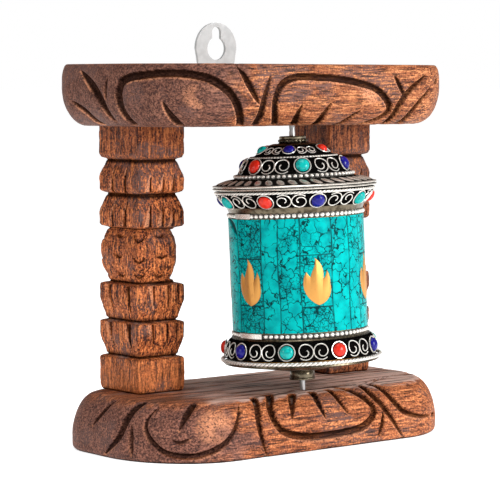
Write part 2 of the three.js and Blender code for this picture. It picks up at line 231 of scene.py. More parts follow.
@dataclass(frozen=True)
class CarvedWood:
    """Stained hardwood: coarse grain, pores, lips of cuts with a painted highlight, rubbed bosses and
    painted shade in the gouges.
    """

    name: str
    grain: Grain
    dark: Colour = (0.085, 0.022, 0.011)
    middle: Colour = (0.330, 0.100, 0.036)
    light: Colour = (0.640, 0.250, 0.100)
    left_end_colour: Colour = (0.070, 0.032, 0.027)
    left_end_light_colour: Colour = (0.245, 0.118, 0.094)
    # The dark of the pores and scores, also used as painted shade in gouges and creases.
    gouge: Colour = (0.006, 0.0025, 0.0015)
    cloud: Colour = (0.140, 0.070, 0.058)
    dust_and_sheen: Colour = (0.800, 0.540, 0.450)
    rub_and_highlight: Colour = (0.790, 0.325, 0.165)
    left_end_from: float = -30.0
    left_end_to: float = -62.0
    left_end_share: float = 0.82
    dust_and_sheen_from: float = -85.0
    dust_and_sheen_to: float = -20.0
    dark_below: float = 0.40
    # How much painted shade darkens the top of a post and how much painted light pales its foot.
    painted_shade_above: float = 0.0
    painted_light_below: float = 0.0

    def patterns(self, g: Graph) -> WoodPatterns:
        """Makes the patterns that the layers share.

        Args:
            g: the graph to build in.

        Returns:
            Fine fibres, wide streaks, large patches, small specks, the tone of the grain, how far
            along the piece a place is, unevenly, and how much it faces up.
        """
        fibre = g.noise(g.place(self.grain.value), 0.9, 5.0, 0.6)
        streak = g.noise(g.place(self.grain.value, 7.0), 3.6, 3.0, 1.2)
        patch = g.noise(g.place((1.6, 1.0, 1.0), 3.0), 17.0, 3.0)
        speck = g.noise(g.place(shift=11.0), 0.95, 2.0)
        tone = g.plus(g.range(fibre, 0.0, 0.42), g.range(streak, 0.0, 0.24))
        tone = g.plus(tone, g.range(speck, 0.0, 0.34))
        along = {0: g.axis(g.place(), "X"), 1: g.range(patch, -90.0, 90.0)}
        reach = g.node("ShaderNodeMath", along, operation="ADD").outputs[0]
        upward = g.axis(g.node("ShaderNodeNewGeometry").outputs["Normal"], "Z")
        return WoodPatterns(fibre, streak, patch, speck, tone, reach, upward)

    def heartwood(self, g: Graph, p: WoodPatterns) -> object:
        """The colour of the bare wood, with painted shade that darkens it near its top and painted light
        that pales it near its foot.
        """
        colour = g.mix(g.band(p.tone, self.dark_below, 0.50), self.dark, self.middle)
        colour = g.mix(g.band(p.tone, 0.50, 0.59), colour, self.light)
        height = g.axis(g.place(), "Z")
        # Painted shade near the top, under the top board, and painted light near the foot.
        colour = g.shade(colour, self.dark, g.band(height, 122.0, 166.0), self.painted_shade_above)
        return g.shade(colour, self.light, g.band(height, 52.0, 30.0), self.painted_light_below)

    def handled(self, g: Graph, p: WoodPatterns, colour: object) -> object:
        """Adds a darker, purple-brown colour towards one end, dark blotches, and dust with a painted
        sheen and scores on the upper faces.
        """
        # A darker, purple-brown colour towards the left end of a board, weaker on upward faces.
        less_above = g.times(g.range(g.band(p.upward, 0.6, 0.9), 1.0, 0.35), self.left_end_share)
        left_end_mask = g.times(g.band(p.reach, self.left_end_from, self.left_end_to), less_above)
        left_end_colour = g.mix(g.band(p.tone, 0.42, 0.60), self.left_end_colour, self.left_end_light_colour)
        colour = g.mix(left_end_mask, colour, left_end_colour)
        blotch = g.times(g.band(p.patch, 0.51, 0.62), g.band(p.tone, 0.60, 0.44))
        colour = g.shade(colour, self.cloud, blotch, 0.8)
        colour = g.shade(colour, self.gouge, self.pores(g), 0.72)
        # Pale dust with a painted sheen on the upward faces.
        dust_and_sheen_mask = g.times(g.band(p.upward, 0.80, 0.98), g.band(p.streak, 0.36, 0.52))
        dust_and_sheen_mask = g.times(dust_and_sheen_mask, g.band(p.reach, self.dust_and_sheen_from, self.dust_and_sheen_to))
        colour = g.mix(dust_and_sheen_mask, colour, self.dust_and_sheen)
        scored = g.band(g.noise(g.place((30.0, 1.0, 1.0), 23.0), 1.5, 3.0), 0.53, 0.62)
        return g.shade(colour, self.gouge, g.times(scored, g.band(p.upward, 0.90, 0.99)), 0.85)

    def pores(self, g: Graph) -> object:
        """The open pores of the grain, from 0 to 1."""
        return g.band(g.noise(g.place(self.grain.value, 19.0), 0.55, 2.0), 0.56, 0.63)

    def make(self) -> bpy.types.Material:
        """Returns the finished material."""
        g = Graph(self.name)
        p = self.patterns(g)
        colour = self.handled(g, p, self.heartwood(g, p))
        # Painted highlight on the lips of cuts that face the light and on the flute floors, with lighter
        # bosses that are partly rubbed wear and partly painted highlight.
        rubbed = g.times(g.band(p.patch, 0.36, 0.54), g.band(p.speck, 0.30, 0.56))
        colour = g.mix(g.times(g.attribute("wear_and_painted_light"), rubbed), colour, self.rub_and_highlight)
        # Painted shade in the gouges, in the necks and under the scales of the posts, and along the feet
        # of the pieces.
        cut = g.attribute("carved")
        colour = g.mix(g.times(cut, g.range(p.speck, 0.8, 1.0)), colour, self.gouge)
        relief = g.plus(g.range(p.fibre, 0.0, 0.5), g.range(p.speck, 0, 0.4))
        g.bump(g.maths("SUBTRACT", relief, g.range(self.pores(g), 0.0, 0.4)), 0.9, 0.9)
        rough = g.plus(g.range(p.fibre, 0.46, 0.66), g.range(cut, 0.0, 0.25))
        return g.finish(Base_Color=colour, Roughness=rough,
                        Specular_IOR_Level=g.range(cut, 0.2, 0.0))


@dataclass(frozen=True)
class WhiteMetal:
    """Silvery metal: bright where it is rubbed, black in its hollows, with fine scratches."""

    name: str
    bright: Colour = (0.80, 0.75, 0.67)
    dull: Colour = (0.46, 0.42, 0.36)
    black: Colour = (0.003, 0.0025, 0.002)
    roughness: float = 0.24
    tarnish: float = 0.5
    metallic: float = 0.85

    def make(self) -> bpy.types.Material:
        """Returns the finished material."""
        g = Graph(self.name)
        cloud = g.noise(g.place(), 3.2, 3.0)
        grit = g.noise(g.place(shift=5.0), 0.35, 2.0)
        colour = g.shade(self.bright, self.dull, g.band(cloud, 0.42, 0.7), self.tarnish)
        hollow = g.attribute("hollow")
        colour = g.mix(g.times(hollow, g.range(grit, 0.985, 1.0)), colour, self.black)
        rough = g.plus(g.range(grit, self.roughness - 0.06, self.roughness + 0.12),
                        g.range(hollow, 0.0, 0.3))
        g.bump(g.plus(g.range(grit, 0.0, 0.5), g.range(cloud, 0.0, 0.5)), 0.05, 0.5)
        return g.finish(Base_Color=colour, Metallic=g.range(hollow, self.metallic, 0.0),
                        Roughness=rough, Specular_IOR_Level=0.0)


@dataclass(frozen=True)
class BlackenedGround:
    """The blackened floor between the wires of a silver band."""

    name: str
    black: Colour = (0.0022, 0.0020, 0.0020)
    rubbed: Colour = (0.030, 0.026, 0.022)

    def make(self) -> bpy.types.Material:
        """Returns the finished material."""
        g = Graph(self.name)
        grit = g.noise(g.place(), 0.5, 3.0)
        colour = g.mix(g.band(grit, 0.55, 0.8), self.black, self.rubbed)
        g.bump(grit, 0.12, 0.6)
        return g.finish(Base_Color=colour, Roughness=g.range(grit, 0.5, 0.8),
                        Specular_IOR_Level=0.0)


@dataclass(frozen=True)
class Brass:
    """Polished brass with a little brown at its edges."""

    name: str
    bright: Colour = (0.67, 0.325, 0.080)
    brown: Colour = (0.38, 0.15, 0.04)

    def make(self) -> bpy.types.Material:
        """Returns the finished material."""
        g = Graph(self.name)
        cloud = g.noise(g.place(), 2.4, 3.0)
        brushed = g.noise(g.place((0.2, 0.2, 3.0)), 0.5, 2.0)
        colour = g.shade(self.bright, self.brown, g.band(cloud, 0.55, 0.90), 0.4)
        colour = g.mix(g.attribute("hollow"), colour, self.brown)
        g.bump(brushed, 0.03, 0.4)
        return g.finish(Base_Color=colour, Metallic=0.78, Roughness=g.range(cloud, 0.40, 0.52))


@dataclass(frozen=True)
class Mosaic:
    """Turquoise tiles with dark veins and dark joints, polished as one drum."""

    name: str
    pale: Colour = (0.001, 0.480, 0.462)
    deep: Colour = (0.001, 0.290, 0.300)
    vein: Colour = (0.002, 0.018, 0.022)
    hop: Point3 = (37.0, 53.0, 71.0)

    def cracks(self, g: Graph, size: float, width: float, shift: float, warp: float) -> object:
        """A net of cracks.

        Args:
            g: the graph to build in.
            size: how far apart the cracks are, in millimetres.
            width: how wide they are, as a share of size.
            shift: moves the net, so that two nets differ.
            warp: how far noise bends the cracks, in millimetres.

        Returns:
            A socket that is 1 in a crack and 0 away from it.
        """
        hop = g.vector("SCALE", {0: self.hop, "Scale": g.attribute("tile")})
        tile = g.vector("ADD", {0: g.place(shift=shift), 1: hop})
        lumps = {"Vector": tile, "Scale": 1.0 / (0.55 * size), "Detail": 2.0}
        wave = g.node("ShaderNodeTexNoise", lumps).outputs["Color"]
        bent = g.vector("SUBTRACT", {0: wave, 1: (0.5, 0.5, 0.5)})
        moved = g.vector("ADD", {0: tile, 1: g.vector("SCALE", {0: bent, "Scale": warp})})
        net = g.node("ShaderNodeTexVoronoi", {"Vector": moved, "Scale": 1.0 / size},
                     feature="DISTANCE_TO_EDGE")
        return g.band(net.outputs["Distance"], width, width * 0.35)

    def make(self) -> bpy.types.Material:
        """Returns the finished material."""
        g = Graph(self.name)
        tile = g.attribute("tile")
        cloud = g.noise(g.place(shift=2.0), 6.0, 3.0)
        fleck = g.noise(g.place(shift=9.0), 0.8, 3.0)
        colour = g.mix(g.band(cloud, 0.38, 0.70), self.pale, self.deep)
        colour = g.shade(colour, self.deep, g.band(tile, 0.35, 0.95), 0.35)
        colour = g.shade(colour, self.deep, g.band(fleck, 0.56, 0.72), 0.25)
        wide = self.cracks(g, 6.0, 0.050, 0.0, 4.6)
        fine = self.cracks(g, 2.0, 0.085, 31.0, 1.6)
        patch = g.noise(g.place(shift=21.0), 9.0, 2.0)
        patchy = g.times(g.band(patch, 0.46, 0.56), g.band(tile, 0.25, 0.50))
        dense = g.times(fine, g.maths("MAXIMUM", patchy, g.band(tile, 0.66, 0.78)))
        open_veins = g.maths("MAXIMUM", g.band(patch, 0.40, 0.50), g.band(tile, 0.36, 0.52))
        veins = g.maths("MAXIMUM", g.times(wide, g.range(open_veins, 0.10, 1.0)),
                        g.times(dense, 0.85))
        colour = g.shade(colour, self.vein, veins, 0.95)
        joint = g.attribute("joint")
        colour = g.shade(colour, self.vein, joint, 0.92)
        g.bump(g.maths("SUBTRACT", 0.6, g.range(veins, 0.0, 0.5)), 0.05, 0.5)
        rough = g.plus(g.range(fleck, 0.20, 0.34), g.range(joint, 0.0, 0.3))
        return g.finish(Base_Color=colour, Roughness=rough, Specular_IOR_Level=0.02,
                        Coat_Weight=0.02, Coat_Roughness=0.08)


@dataclass(frozen=True)
class Cabochon:
    """A small polished stone with cloudy colour."""

    name: str
    colour: Colour
    cloud: Colour
    cloud_size: float = 1.6

    def make(self) -> bpy.types.Material:
        """Returns the finished material."""
        g = Graph(self.name)
        cloud = g.noise(g.place(), self.cloud_size, 4.0, 0.4)
        fleck = g.noise(g.place(shift=4.0), 0.3, 2.0)
        colour = g.mix(g.band(cloud, 0.42, 0.72), self.colour, self.cloud)
        g.bump(fleck, 0.02, 0.3)
        rough = g.range(fleck, 0.14, 0.30)
        return g.finish(Base_Color=colour, Roughness=rough, Specular_IOR_Level=0.22,
                        Coat_Weight=0.18, Coat_Roughness=0.05)


@dataclass(frozen=True)
class Steel:
    """Plain steel with fine lines along one axis and a dull skin."""

    name: str
    lines: Sequence[float] = (3.0, 1.0, 0.12)
    bright: Colour = (0.60, 0.61, 0.61)
    dull: Colour = (0.33, 0.34, 0.35)
    metallic: float = 0.9
    roughness: float = 0.24

    def make(self) -> bpy.types.Material:
        """Returns the finished material."""
        g = Graph(self.name)
        brushed = g.noise(g.place(self.lines), 0.6, 3.0)
        cloud = g.noise(g.place(shift=8.0), 4.0, 3.0)
        colour = g.mix(g.band(cloud, 0.35, 0.75), self.bright, self.dull)
        g.bump(brushed, 0.03, 0.5)
        rough = g.range(brushed, self.roughness, self.roughness + 0.2)
        return g.finish(Base_Color=colour, Metallic=self.metallic, Roughness=rough)


@dataclass(frozen=True)
class RolledPaper:
    """A tight roll of thin paper: pale, matt, with the lines of its turns."""

    name: str
    pale: Colour = (0.72, 0.64, 0.48)
    shade: Colour = (0.45, 0.36, 0.24)

    def make(self) -> bpy.types.Material:
        """Returns the finished material."""
        g = Graph(self.name)
        turns = g.noise(g.place((1.0, 1.0, 30.0)), 0.4, 2.0)
        colour = g.mix(g.band(turns, 0.5, 0.7), self.pale, self.shade)
        g.bump(turns, 0.1, 0.6)
        return g.finish(Base_Color=colour, Roughness=0.9)


@dataclass(frozen=True)
class StudioFloor:
    """A plain white floor, lit from within as a light table is."""

    name: str
    white: Colour = (0.80, 0.80, 0.80)
    glow: float = 0.80

    def make(self) -> bpy.types.Material:
        """Returns the finished material."""
        glow = {"Emission_Color": (1.0, 1.0, 1.0), "Emission_Strength": self.glow}
        return Graph(self.name).finish(Base_Color=self.white, Roughness=0.9, **glow)


class Finishes:
    """All the object's materials, each made once."""

    def __init__(self) -> None:
        """Makes them."""
        self.base_board = CarvedWood(
            "carved_base_wood", Grain.ALONG_BOARD, middle=(0.390, 0.112, 0.038),
            light=(0.760, 0.268, 0.100), left_end_light_colour=(0.275, 0.122, 0.094),
            left_end_from=-44.0, left_end_to=-74.0).make()
        self.top_board = CarvedWood(
            "carved_top_wood", Grain.ALONG_BOARD, left_end_colour=(0.056, 0.023, 0.018),
            left_end_light_colour=(0.180, 0.080, 0.063), dust_and_sheen=(0.420, 0.170, 0.085),
            left_end_from=-43.0, left_end_to=-70.0).make()
        self.post = CarvedWood(
            "carved_post_wood", Grain.ALONG_POST, left_end_share=0.0, dark=(0.045, 0.011, 0.006),
            middle=(0.390, 0.096, 0.028), light=(0.780, 0.246, 0.074),
            dark_below=0.440, painted_shade_above=0.42, painted_light_below=0.40).make()
        # The far post: the same wood darker all over, as painted shade.
        self.post_in_painted_shade = CarvedWood(
            "carved_post_wood_in_painted_shade", Grain.ALONG_POST, left_end_share=0.0, dark=(0.036, 0.009, 0.005),
            middle=(0.225, 0.062, 0.022), light=(0.480, 0.155, 0.054), dark_below=0.435,
            painted_shade_above=0.15).make()
        self.silver = WhiteMetal("rubbed_silver").make()
        self.wire = WhiteMetal("silver_wire", bright=(0.90, 0.86, 0.80), tarnish=0.25,
                               metallic=0.55).make()
        self.aged = WhiteMetal("aged_silver", bright=(0.17, 0.14, 0.095), dull=(0.055, 0.043, 0.028),
                               tarnish=0.9, metallic=1.0).make()
        self.ground = BlackenedGround("blackened_ground").make()
        self.brass = Brass("polished_brass").make()
        self.mosaic = Mosaic("turquoise_mosaic").make()
        self.steel = Steel("dull_steel").make()
        self.rod = Steel("turned_rod_steel", lines=(1.0, 1.0, 0.1), bright=(0.42, 0.41, 0.40)).make()
        self.plate = Steel("galvanised_plate", bright=(0.52, 0.53, 0.53), dull=(0.44, 0.45, 0.45),
                           metallic=0.25, roughness=0.5).make()
        self.paper = RolledPaper("rolled_paper").make()
        self.stones = {
            Slot.CORAL: Cabochon("coral_stone", (0.70, 0.026, 0.010), (0.50, 0.014, 0.008)).make(),
            Slot.LAPIS: Cabochon("lapis_stone", (0.004, 0.003, 0.17), (0.008, 0.007, 0.27)).make(),
            Slot.TURQUOISE: Cabochon(
                "turquoise_stone", (0.001, 0.45, 0.41), (0.001, 0.27, 0.26)).make(),
        }


# ---------------------------------------------------------------- pieces


def finish_piece(name: str, bm: bmesh.types.BMesh, body: Body,
                 material: bpy.types.Material, stands_for: Sequence[str] = (),
                 sharp: float = 40.0) -> None:
    """Turns a shape in millimetres into a finished piece of the object.

    Args:
        name: the piece's name.
        bm: its shape, which is used up.
        body: the body that it rides on.
        material: its finish.
        stands_for: the frame's nodes that it replaces.
        sharp: edges with more than this angle between their faces stay sharp, in degrees.
    """
    bmesh.ops.scale(bm, vec=(MM, MM, MM), verts=bm.verts)
    mesh = bpy.data.meshes.new(name)
    bm.to_mesh(mesh)
    bm.free()
    mesh.shade_smooth()
    mesh.set_sharp_from_angle(angle=math.radians(sharp))
    mesh.materials.append(material)
    piece = bpy.data.objects.new(name, mesh)
    bpy.context.scene.collection.objects.link(piece)
    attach(piece, body.value)
    if stands_for:
        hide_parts(*stands_for)
    log.info("%s: %d faces", name, len(mesh.polygons))


def dress_node(name: str, material: bpy.types.Material) -> None:
    """Gives a node of the frame that stays as it is a better material."""
    for slot in frame["nodes"][name].material_slots:
        slot.material = material
    log.info("%s: kept from the frame", name)


def sheet(columns: int, rows: int) -> tuple[bmesh.types.BMesh, np.ndarray, np.ndarray]:
    """A flat grid of faces to be shaped.

    Args:
        columns: how many faces it has across.
        rows: how many faces it has upwards.

    Returns:
        The grid, and how far across and how far up each vertex is, from 0 to 1.
    """
    bm = bmesh.new()
    bmesh.ops.create_grid(bm, x_segments=columns, y_segments=rows, size=0.5)
    flat = np.array([vertex.co.xy for vertex in bm.verts])
    low, high = flat.min(axis=0), flat.max(axis=0)
    share = (flat - low) / (high - low)
    return bm, share[:, 0], share[:, 1]


def move_to(bm: bmesh.types.BMesh, places: np.ndarray) -> None:
    """Moves every vertex to its place."""
    for vertex, place in zip(bm.verts, places):
        vertex.co = place


def mark(bm: bmesh.types.BMesh, name: str, values: np.ndarray) -> None:
    """Stores a number on every vertex."""
    layer = bm.verts.layers.float.new(name)
    for vertex, value in zip(bm.verts, values):
        vertex[layer] = float(value)


def merge(bm: bmesh.types.BMesh, vertices: Sequence[bmesh.types.BMVert]) -> None:
    """Joins those of the vertices that are in the same place."""
    bmesh.ops.remove_doubles(bm, verts=vertices, dist=SAME_PLACE)


def face_outwards(bm: bmesh.types.BMesh) -> None:
    """Turns every face so that its normal points out of the shape."""
    bmesh.ops.recalc_face_normals(bm, faces=bm.faces)


def close_seam(bm: bmesh.types.BMesh) -> None:
    """Joins the two edges of a sheet that was wrapped round."""
    merge(bm, [vertex for vertex in bm.verts if vertex.is_boundary])


def close_tube(bm: bmesh.types.BMesh) -> None:
    """Makes a closed shape of a sheet that was wrapped round: joins its seam and fills its ends."""
    close_seam(bm)
    bmesh.ops.holes_fill(bm, edges=bm.edges, sides=0)
    face_outwards(bm)


def close_ring(bm: bmesh.types.BMesh) -> None:
    """Joins the lowest open loop of a shape to its highest one by a straight inner wall."""
    loops = open_loops(bm)
    bmesh.ops.bridge_loops(bm, edges=loops[0] + loops[-1])
    face_outwards(bm)


def open_loops(bm: bmesh.types.BMesh) -> list[list[bmesh.types.BMEdge]]:
    """The edge loops where a shape is still open, from the lowest to the highest."""
    left = {edge for edge in bm.edges if edge.is_boundary}
    loops = []
    while left:
        stack = [left.pop()]
        loop = []
        while stack:
            edge = stack.pop()
            loop.append(edge)
            near = {other for vertex in edge.verts for other in vertex.link_edges} & left
            left -= near
            stack.extend(near)
        loops.append(loop)
    return sorted(loops, key=lambda loop: sum(e.verts[0].co.z for e in loop) / len(loop))


def turned(outline: Sequence[Point2], steps: int) -> bmesh.types.BMesh:
    """A ring turned round the upright axis.

    Args:
        outline: its closed section, as (radius, height) points.
        steps: how many faces it has round.

    Returns:
        The ring.
    """
    bm = bmesh.new()
    corners = [bm.verts.new((radius, 0.0, height)) for radius, height in outline]
    for pair in zip(corners, corners[1:] + corners[:1]):
        bm.edges.new(pair)
    bmesh.ops.spin(bm, geom=list(bm.verts) + list(bm.edges), cent=(0, 0, 0), axis=(0, 0, 1),
                   dvec=(0, 0, 0), angle=TURN, steps=steps, use_merge=True, use_duplicate=False)
    face_outwards(bm)
    return bm


def bowed(points: Sequence[Point2], count: int) -> np.ndarray:
    """Evenly spaced points on a smooth curve through a few given ones."""
    given = np.array(points, float)
    ends = np.vstack([2 * given[0] - given[1], given, 2 * given[-1] - given[-2]])
    curve = []
    for a, b, c, d in zip(ends, ends[1:], ends[2:], ends[3:]):
        for t in np.linspace(0.0, 1.0, 16, endpoint=False):
            curve.append(0.5 * (2 * b + (c - a) * t + (2 * a - 5 * b + 4 * c - d) * t**2
                                + (3 * b - a - 3 * c + d) * t**3))
    curve = np.array(curve + [given[-1]])
    run = np.concatenate([[0.0], np.cumsum(np.linalg.norm(np.diff(curve, axis=0), axis=1))])
    even = np.linspace(0.0, run[-1], count)
    return np.stack([np.interp(even, run, axis) for axis in curve.T], axis=-1)


def ripple(places: np.ndarray, size: float, seed: float) -> np.ndarray:
    """Gentle unevenness from -1 to 1 at each place, in lumps about size across."""
    shift = Vector((seed, 2.3 * seed, -1.7 * seed))
    return np.array([noise.noise(Vector(place) / size + shift) for place in places])


# ---------------------------------------------------------------- boards


@dataclass(frozen=True)
class Stroke:
    """One cut of a gouge, along points given as (run round the board, rise over its edge)."""

    points: tuple[Point2, ...]
    width: float = 3.8
    depth: float = 2.0

    OVER_EDGE: ClassVar[float] = 33.0

    def depth_at(self, run: np.ndarray, rise: np.ndarray, up: float) -> tuple[np.ndarray, ...]:
        """How deep the cut is, how near its edge each place is, and on which wall.

        Args:
            run: how far round the board each place is.
            rise: how far over the board's edge each place is.
            up: 1 if the rise grows upwards, -1 if it grows downwards.

        Returns:
            The depth of the cut, the distance beyond its edge, negative inside it, and the side:
            from -1 on the wall that faces up and right to 1 on the one under the overhang.
        """
        path = bowed(self.points, 48)
        depth = np.zeros_like(run)
        beyond = np.full_like(run, FAR_AWAY)
        side = np.zeros_like(run)
        reach = self.width + 4.0
        low, high = path.min(axis=0) - reach, path.max(axis=0) + reach
        near = (run > low[0]) & (run < high[0]) & (rise > low[1]) & (rise < high[1])
        place = np.stack([run[near], rise[near]], axis=-1)[:, None, :]
        step = path[1:] - path[:-1]
        share = ((place - path[:-1]) * step).sum(-1) / (step**2).sum(-1)
        share = np.clip(share, 0.0, 1.0)
        apart = place - path[:-1] - share[..., None] * step
        away = np.linalg.norm(apart, axis=-1)
        closest = away.argmin(axis=1)
        rows = np.arange(len(closest))
        along = (closest + share[rows, closest]) / len(step)
        first = 0.42 if self.points[0][1] > self.OVER_EDGE else 0.02
        last = 0.58 if self.points[-1][1] > self.OVER_EDGE else 0.98
        swell = np.sin(math.pi * (first + (last - first) * along)) ** 0.6
        half = 0.5 * self.width * swell
        across = away[rows, closest] / half
        depth[near] = self.depth * swell * np.clip(1.0 - across**3, 0.0, 1.0)
        beyond[near] = (across - 1.0) * half
        # The side is taken against the way the light comes from, up and to the right, for painted shade
        # and painted highlight.
        side[near] = (apart[rows, closest] @ np.array((0.45, 0.89 * up))) / half
        return depth, beyond, side


@dataclass
class Board:
    """A plank with a flat back and full, rounded, carved front and ends."""

    name: str
    strokes: tuple[Stroke, ...]
    round_rise: float
    rounded_above: bool
    bosses: tuple[tuple[float, float, float, float], ...] = ()
    round_in: float = 13.0
    edge: float = 2.5
    edge_rise: float = 2.5
    # The least painted shade that the lit wall of a gouge keeps.
    least_groove_shade: float = 0.55
    front_corner: Point2 = (45.0, 51.0)
    back_corner: Point2 = (33.0, 30.0)
    back_oversize: float = 9.0
    fine_run: float = 182.0
    fine_step: float = 0.5
    coarse_step: float = 4.0
    rows: int = 88
    seed: float = 1.0
    low: np.ndarray = field(init=False)
    high: np.ndarray = field(init=False)

    def __post_init__(self) -> None:
        """Takes the plank's size from the frame."""
        low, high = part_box(self.name)
        self.low, self.high = np.array(low) / MM, np.array(high) / MM

    def outline(self) -> tuple[np.ndarray, np.ndarray, np.ndarray]:
        """The plan of the plank.

        Returns:
            The run from the middle of the front, the point there, and the way outwards there.
        """
        half = self.high[0]
        front, back = self.low[1], self.high[1] + self.back_oversize

        def corner(side: int, middle: float, size: Point2, start: int) -> np.ndarray:
            angle = np.radians(np.linspace(start, start + 90, 300))
            x = side * (half - size[0]) + size[0] * np.cos(angle)
            return np.stack([x, middle + size[1] * np.sin(angle)], axis=-1)

        middle = np.array([[0.0, front]])
        points = np.concatenate([
            middle,
            corner(1, front + self.front_corner[1], self.front_corner, -90),
            corner(1, back - self.back_corner[1], self.back_corner, 0),
            corner(-1, back - self.back_corner[1], self.back_corner, 90),
            corner(-1, front + self.front_corner[1], self.front_corner, 180),
            middle,
        ])
        run = np.concatenate([[0.0], np.cumsum(np.linalg.norm(np.diff(points, axis=0), axis=1))])
        even = np.linspace(0.0, run[-1], 4000)
        point = np.stack([np.interp(even, run, axis) for axis in points.T], axis=-1)
        ahead = np.gradient(point, axis=0)
        ahead[0] = ahead[-1] = (1.0, 0.0)
        ahead /= np.linalg.norm(ahead, axis=1)[:, None]
        return even, point, np.stack([ahead[:, 1], -ahead[:, 0]], axis=-1)

    def section(self) -> tuple[np.ndarray, np.ndarray, np.ndarray]:
        """The section of the plank's edge.

        Returns:
            The rise along the section, how far in it is there, and its height there.
        """
        thick = self.high[2] - self.low[2]
        quarter = np.radians(np.linspace(0, 90, 24))
        points = [(self.edge * (1 - math.sin(t)), self.edge_rise * (1 - math.cos(t)))
                  for t in quarter]
        points += [(self.round_in * (1 - math.cos(t)),
                    thick - self.round_rise + self.round_rise * math.sin(t))
                   for t in np.radians(np.linspace(0, 90, 60))]
        points.append((self.round_in + 3.0, thick))
        points = np.array(points)
        rise = np.concatenate([[0.0], np.cumsum(np.linalg.norm(np.diff(points, axis=0), axis=1))])
        return rise, points[:, 0], points[:, 1]

    def build(self) -> bmesh.types.BMesh:
        """Returns the carved plank."""
        even, point, outward = self.outline()
        total = even[-1]
        fine = np.arange(-self.fine_run, self.fine_run, self.fine_step)
        coarse = np.arange(self.fine_run, total - self.fine_run, self.coarse_step)
        knots = np.concatenate([fine, coarse, [total - self.fine_run]])
        bm, across, up = sheet(len(knots) - 1, self.rows)
        run = np.interp(across * (len(knots) - 1), np.arange(len(knots)), knots)
        rises, insets, heights = self.section()
        rise = up * rises[-1]
        inset, height = np.interp(rise, rises, insets), np.interp(rise, rises, heights)
        tilt_in = np.interp(rise, rises, np.gradient(insets, rises + np.arange(len(rises)) * 1e-9))
        tilt_up = np.interp(rise, rises, np.gradient(heights, rises + np.arange(len(rises)) * 1e-9))
        size = np.hypot(tilt_in, tilt_up)
        tilt_in, tilt_up = tilt_in / size, tilt_up / size
        wrap = np.mod(run, total)
        plan = np.stack([np.interp(wrap, even, axis) for axis in point.T], axis=-1)
        out = np.stack([np.interp(wrap, even, axis) for axis in outward.T], axis=-1)
        out /= np.linalg.norm(out, axis=1)[:, None]
        flat = plan - out * inset[:, None]
        places = np.column_stack([flat, height])
        normal = np.column_stack([out * tilt_up[:, None], tilt_in])
        signed = np.where(run > total / 2, run - total, run)
        depth, beyond, side, raised = self.carve(signed, rise)
        shown = flat[:, 1] < self.high[1] - 0.6
        fade = np.clip(np.minimum(rise / 2.0, 1.0), 0.0, 1.0)
        uneven = 0.22 * ripple(places, 9.0, self.seed) + 0.10 * ripple(places, 2.6, self.seed + 5)
        sunk = (depth - 0.5 * raised - uneven * fade) * shown
        places = places - normal * sunk[:, None]
        places[:, 1] = np.minimum(places[:, 1], self.high[1])
        places[:, 2] = np.clip(places[:, 2], 0.0, self.high[2] - self.low[2])
        if self.rounded_above:
            places[:, 2] += self.low[2]
        else:
            places[:, 2] = self.high[2] - places[:, 2]
        move_to(bm, places)
        # Painted shade in the gouges, most on the wall under the overhang, and a painted contact shadow
        # along the base's lowest edge.
        shaded = np.clip(0.85 + 0.5 * side, self.least_groove_shade, 1.0)
        gouged = np.clip((depth - 0.72) / 0.25, 0.0, 1.0) * shaded
        underside = np.clip((1.1 - height) / 0.5, 0.0, 1.0) * self.rounded_above
        mark(bm, "carved", np.maximum(gouged, underside) * shown)
        # Painted highlight on the lip of each cut on the side that faces the light; the bosses are
        # lighter, partly rubbed wear and partly painted highlight.
        lip = np.clip(1.0 - np.abs(beyond - 0.15) / 0.85, 0.0, 1.0) * np.clip(-1.6 * side - 0.4, 0, 1)
        mark(bm, "wear_and_painted_light", np.clip(lip + 0.8 * raised, 0.0, 1.0) * shown)
        close_tube(bm)
        return bm

    def carve(self, run: np.ndarray, rise: np.ndarray) -> tuple[np.ndarray, ...]:
        """Cuts all the strokes and raises the bosses.

        Args:
            run: how far round the board each place is.
            rise: how far over the board's edge each place is.

        Returns:
            How deep each place is cut, how far it is beyond the nearest cut's edge, which wall of
            that cut it is on, and how much it is raised.
        """
        depth, side, raised = (np.zeros_like(run) for _ in range(3))
        beyond = np.full_like(run, FAR_AWAY)
        for stroke in self.strokes:
            cut, edge, wall = stroke.depth_at(run, rise, 1.0 if self.rounded_above else -1.0)
            depth = np.maximum(depth, cut)
            side = np.where(edge < beyond, wall, side)
            beyond = np.minimum(beyond, edge)
        for middle_run, middle_rise, long, tall in self.bosses:
            away = ((run - middle_run) / long) ** 2 + ((rise - middle_rise) / tall) ** 2
            raised = np.maximum(raised, np.clip(1.2 - away, 0.0, 1.0))
        shoulder = 0.55 * np.clip(1.0 - beyond / 3.0, 0.0, 1.0) ** 2
        return depth + shoulder * (beyond > 0) + 0.55 * (beyond <= 0), beyond, side, raised

    def dress(self, material: bpy.types.Material) -> None:
        """Finishes the plank as a piece.

        Args:
            material: what the plank is finished in.
        """
        finish_piece(f"{self.name}_carved", self.build(), Body.STAND, material,
                     (self.name,), sharp=70.0)


def mirrored(strokes: Sequence[Stroke]) -> tuple[Stroke, ...]:
    """The same cuts on the other end of the board."""
    return tuple(Stroke(tuple((-run, rise) for run, rise in stroke.points), stroke.width,
                        stroke.depth) for stroke in strokes)


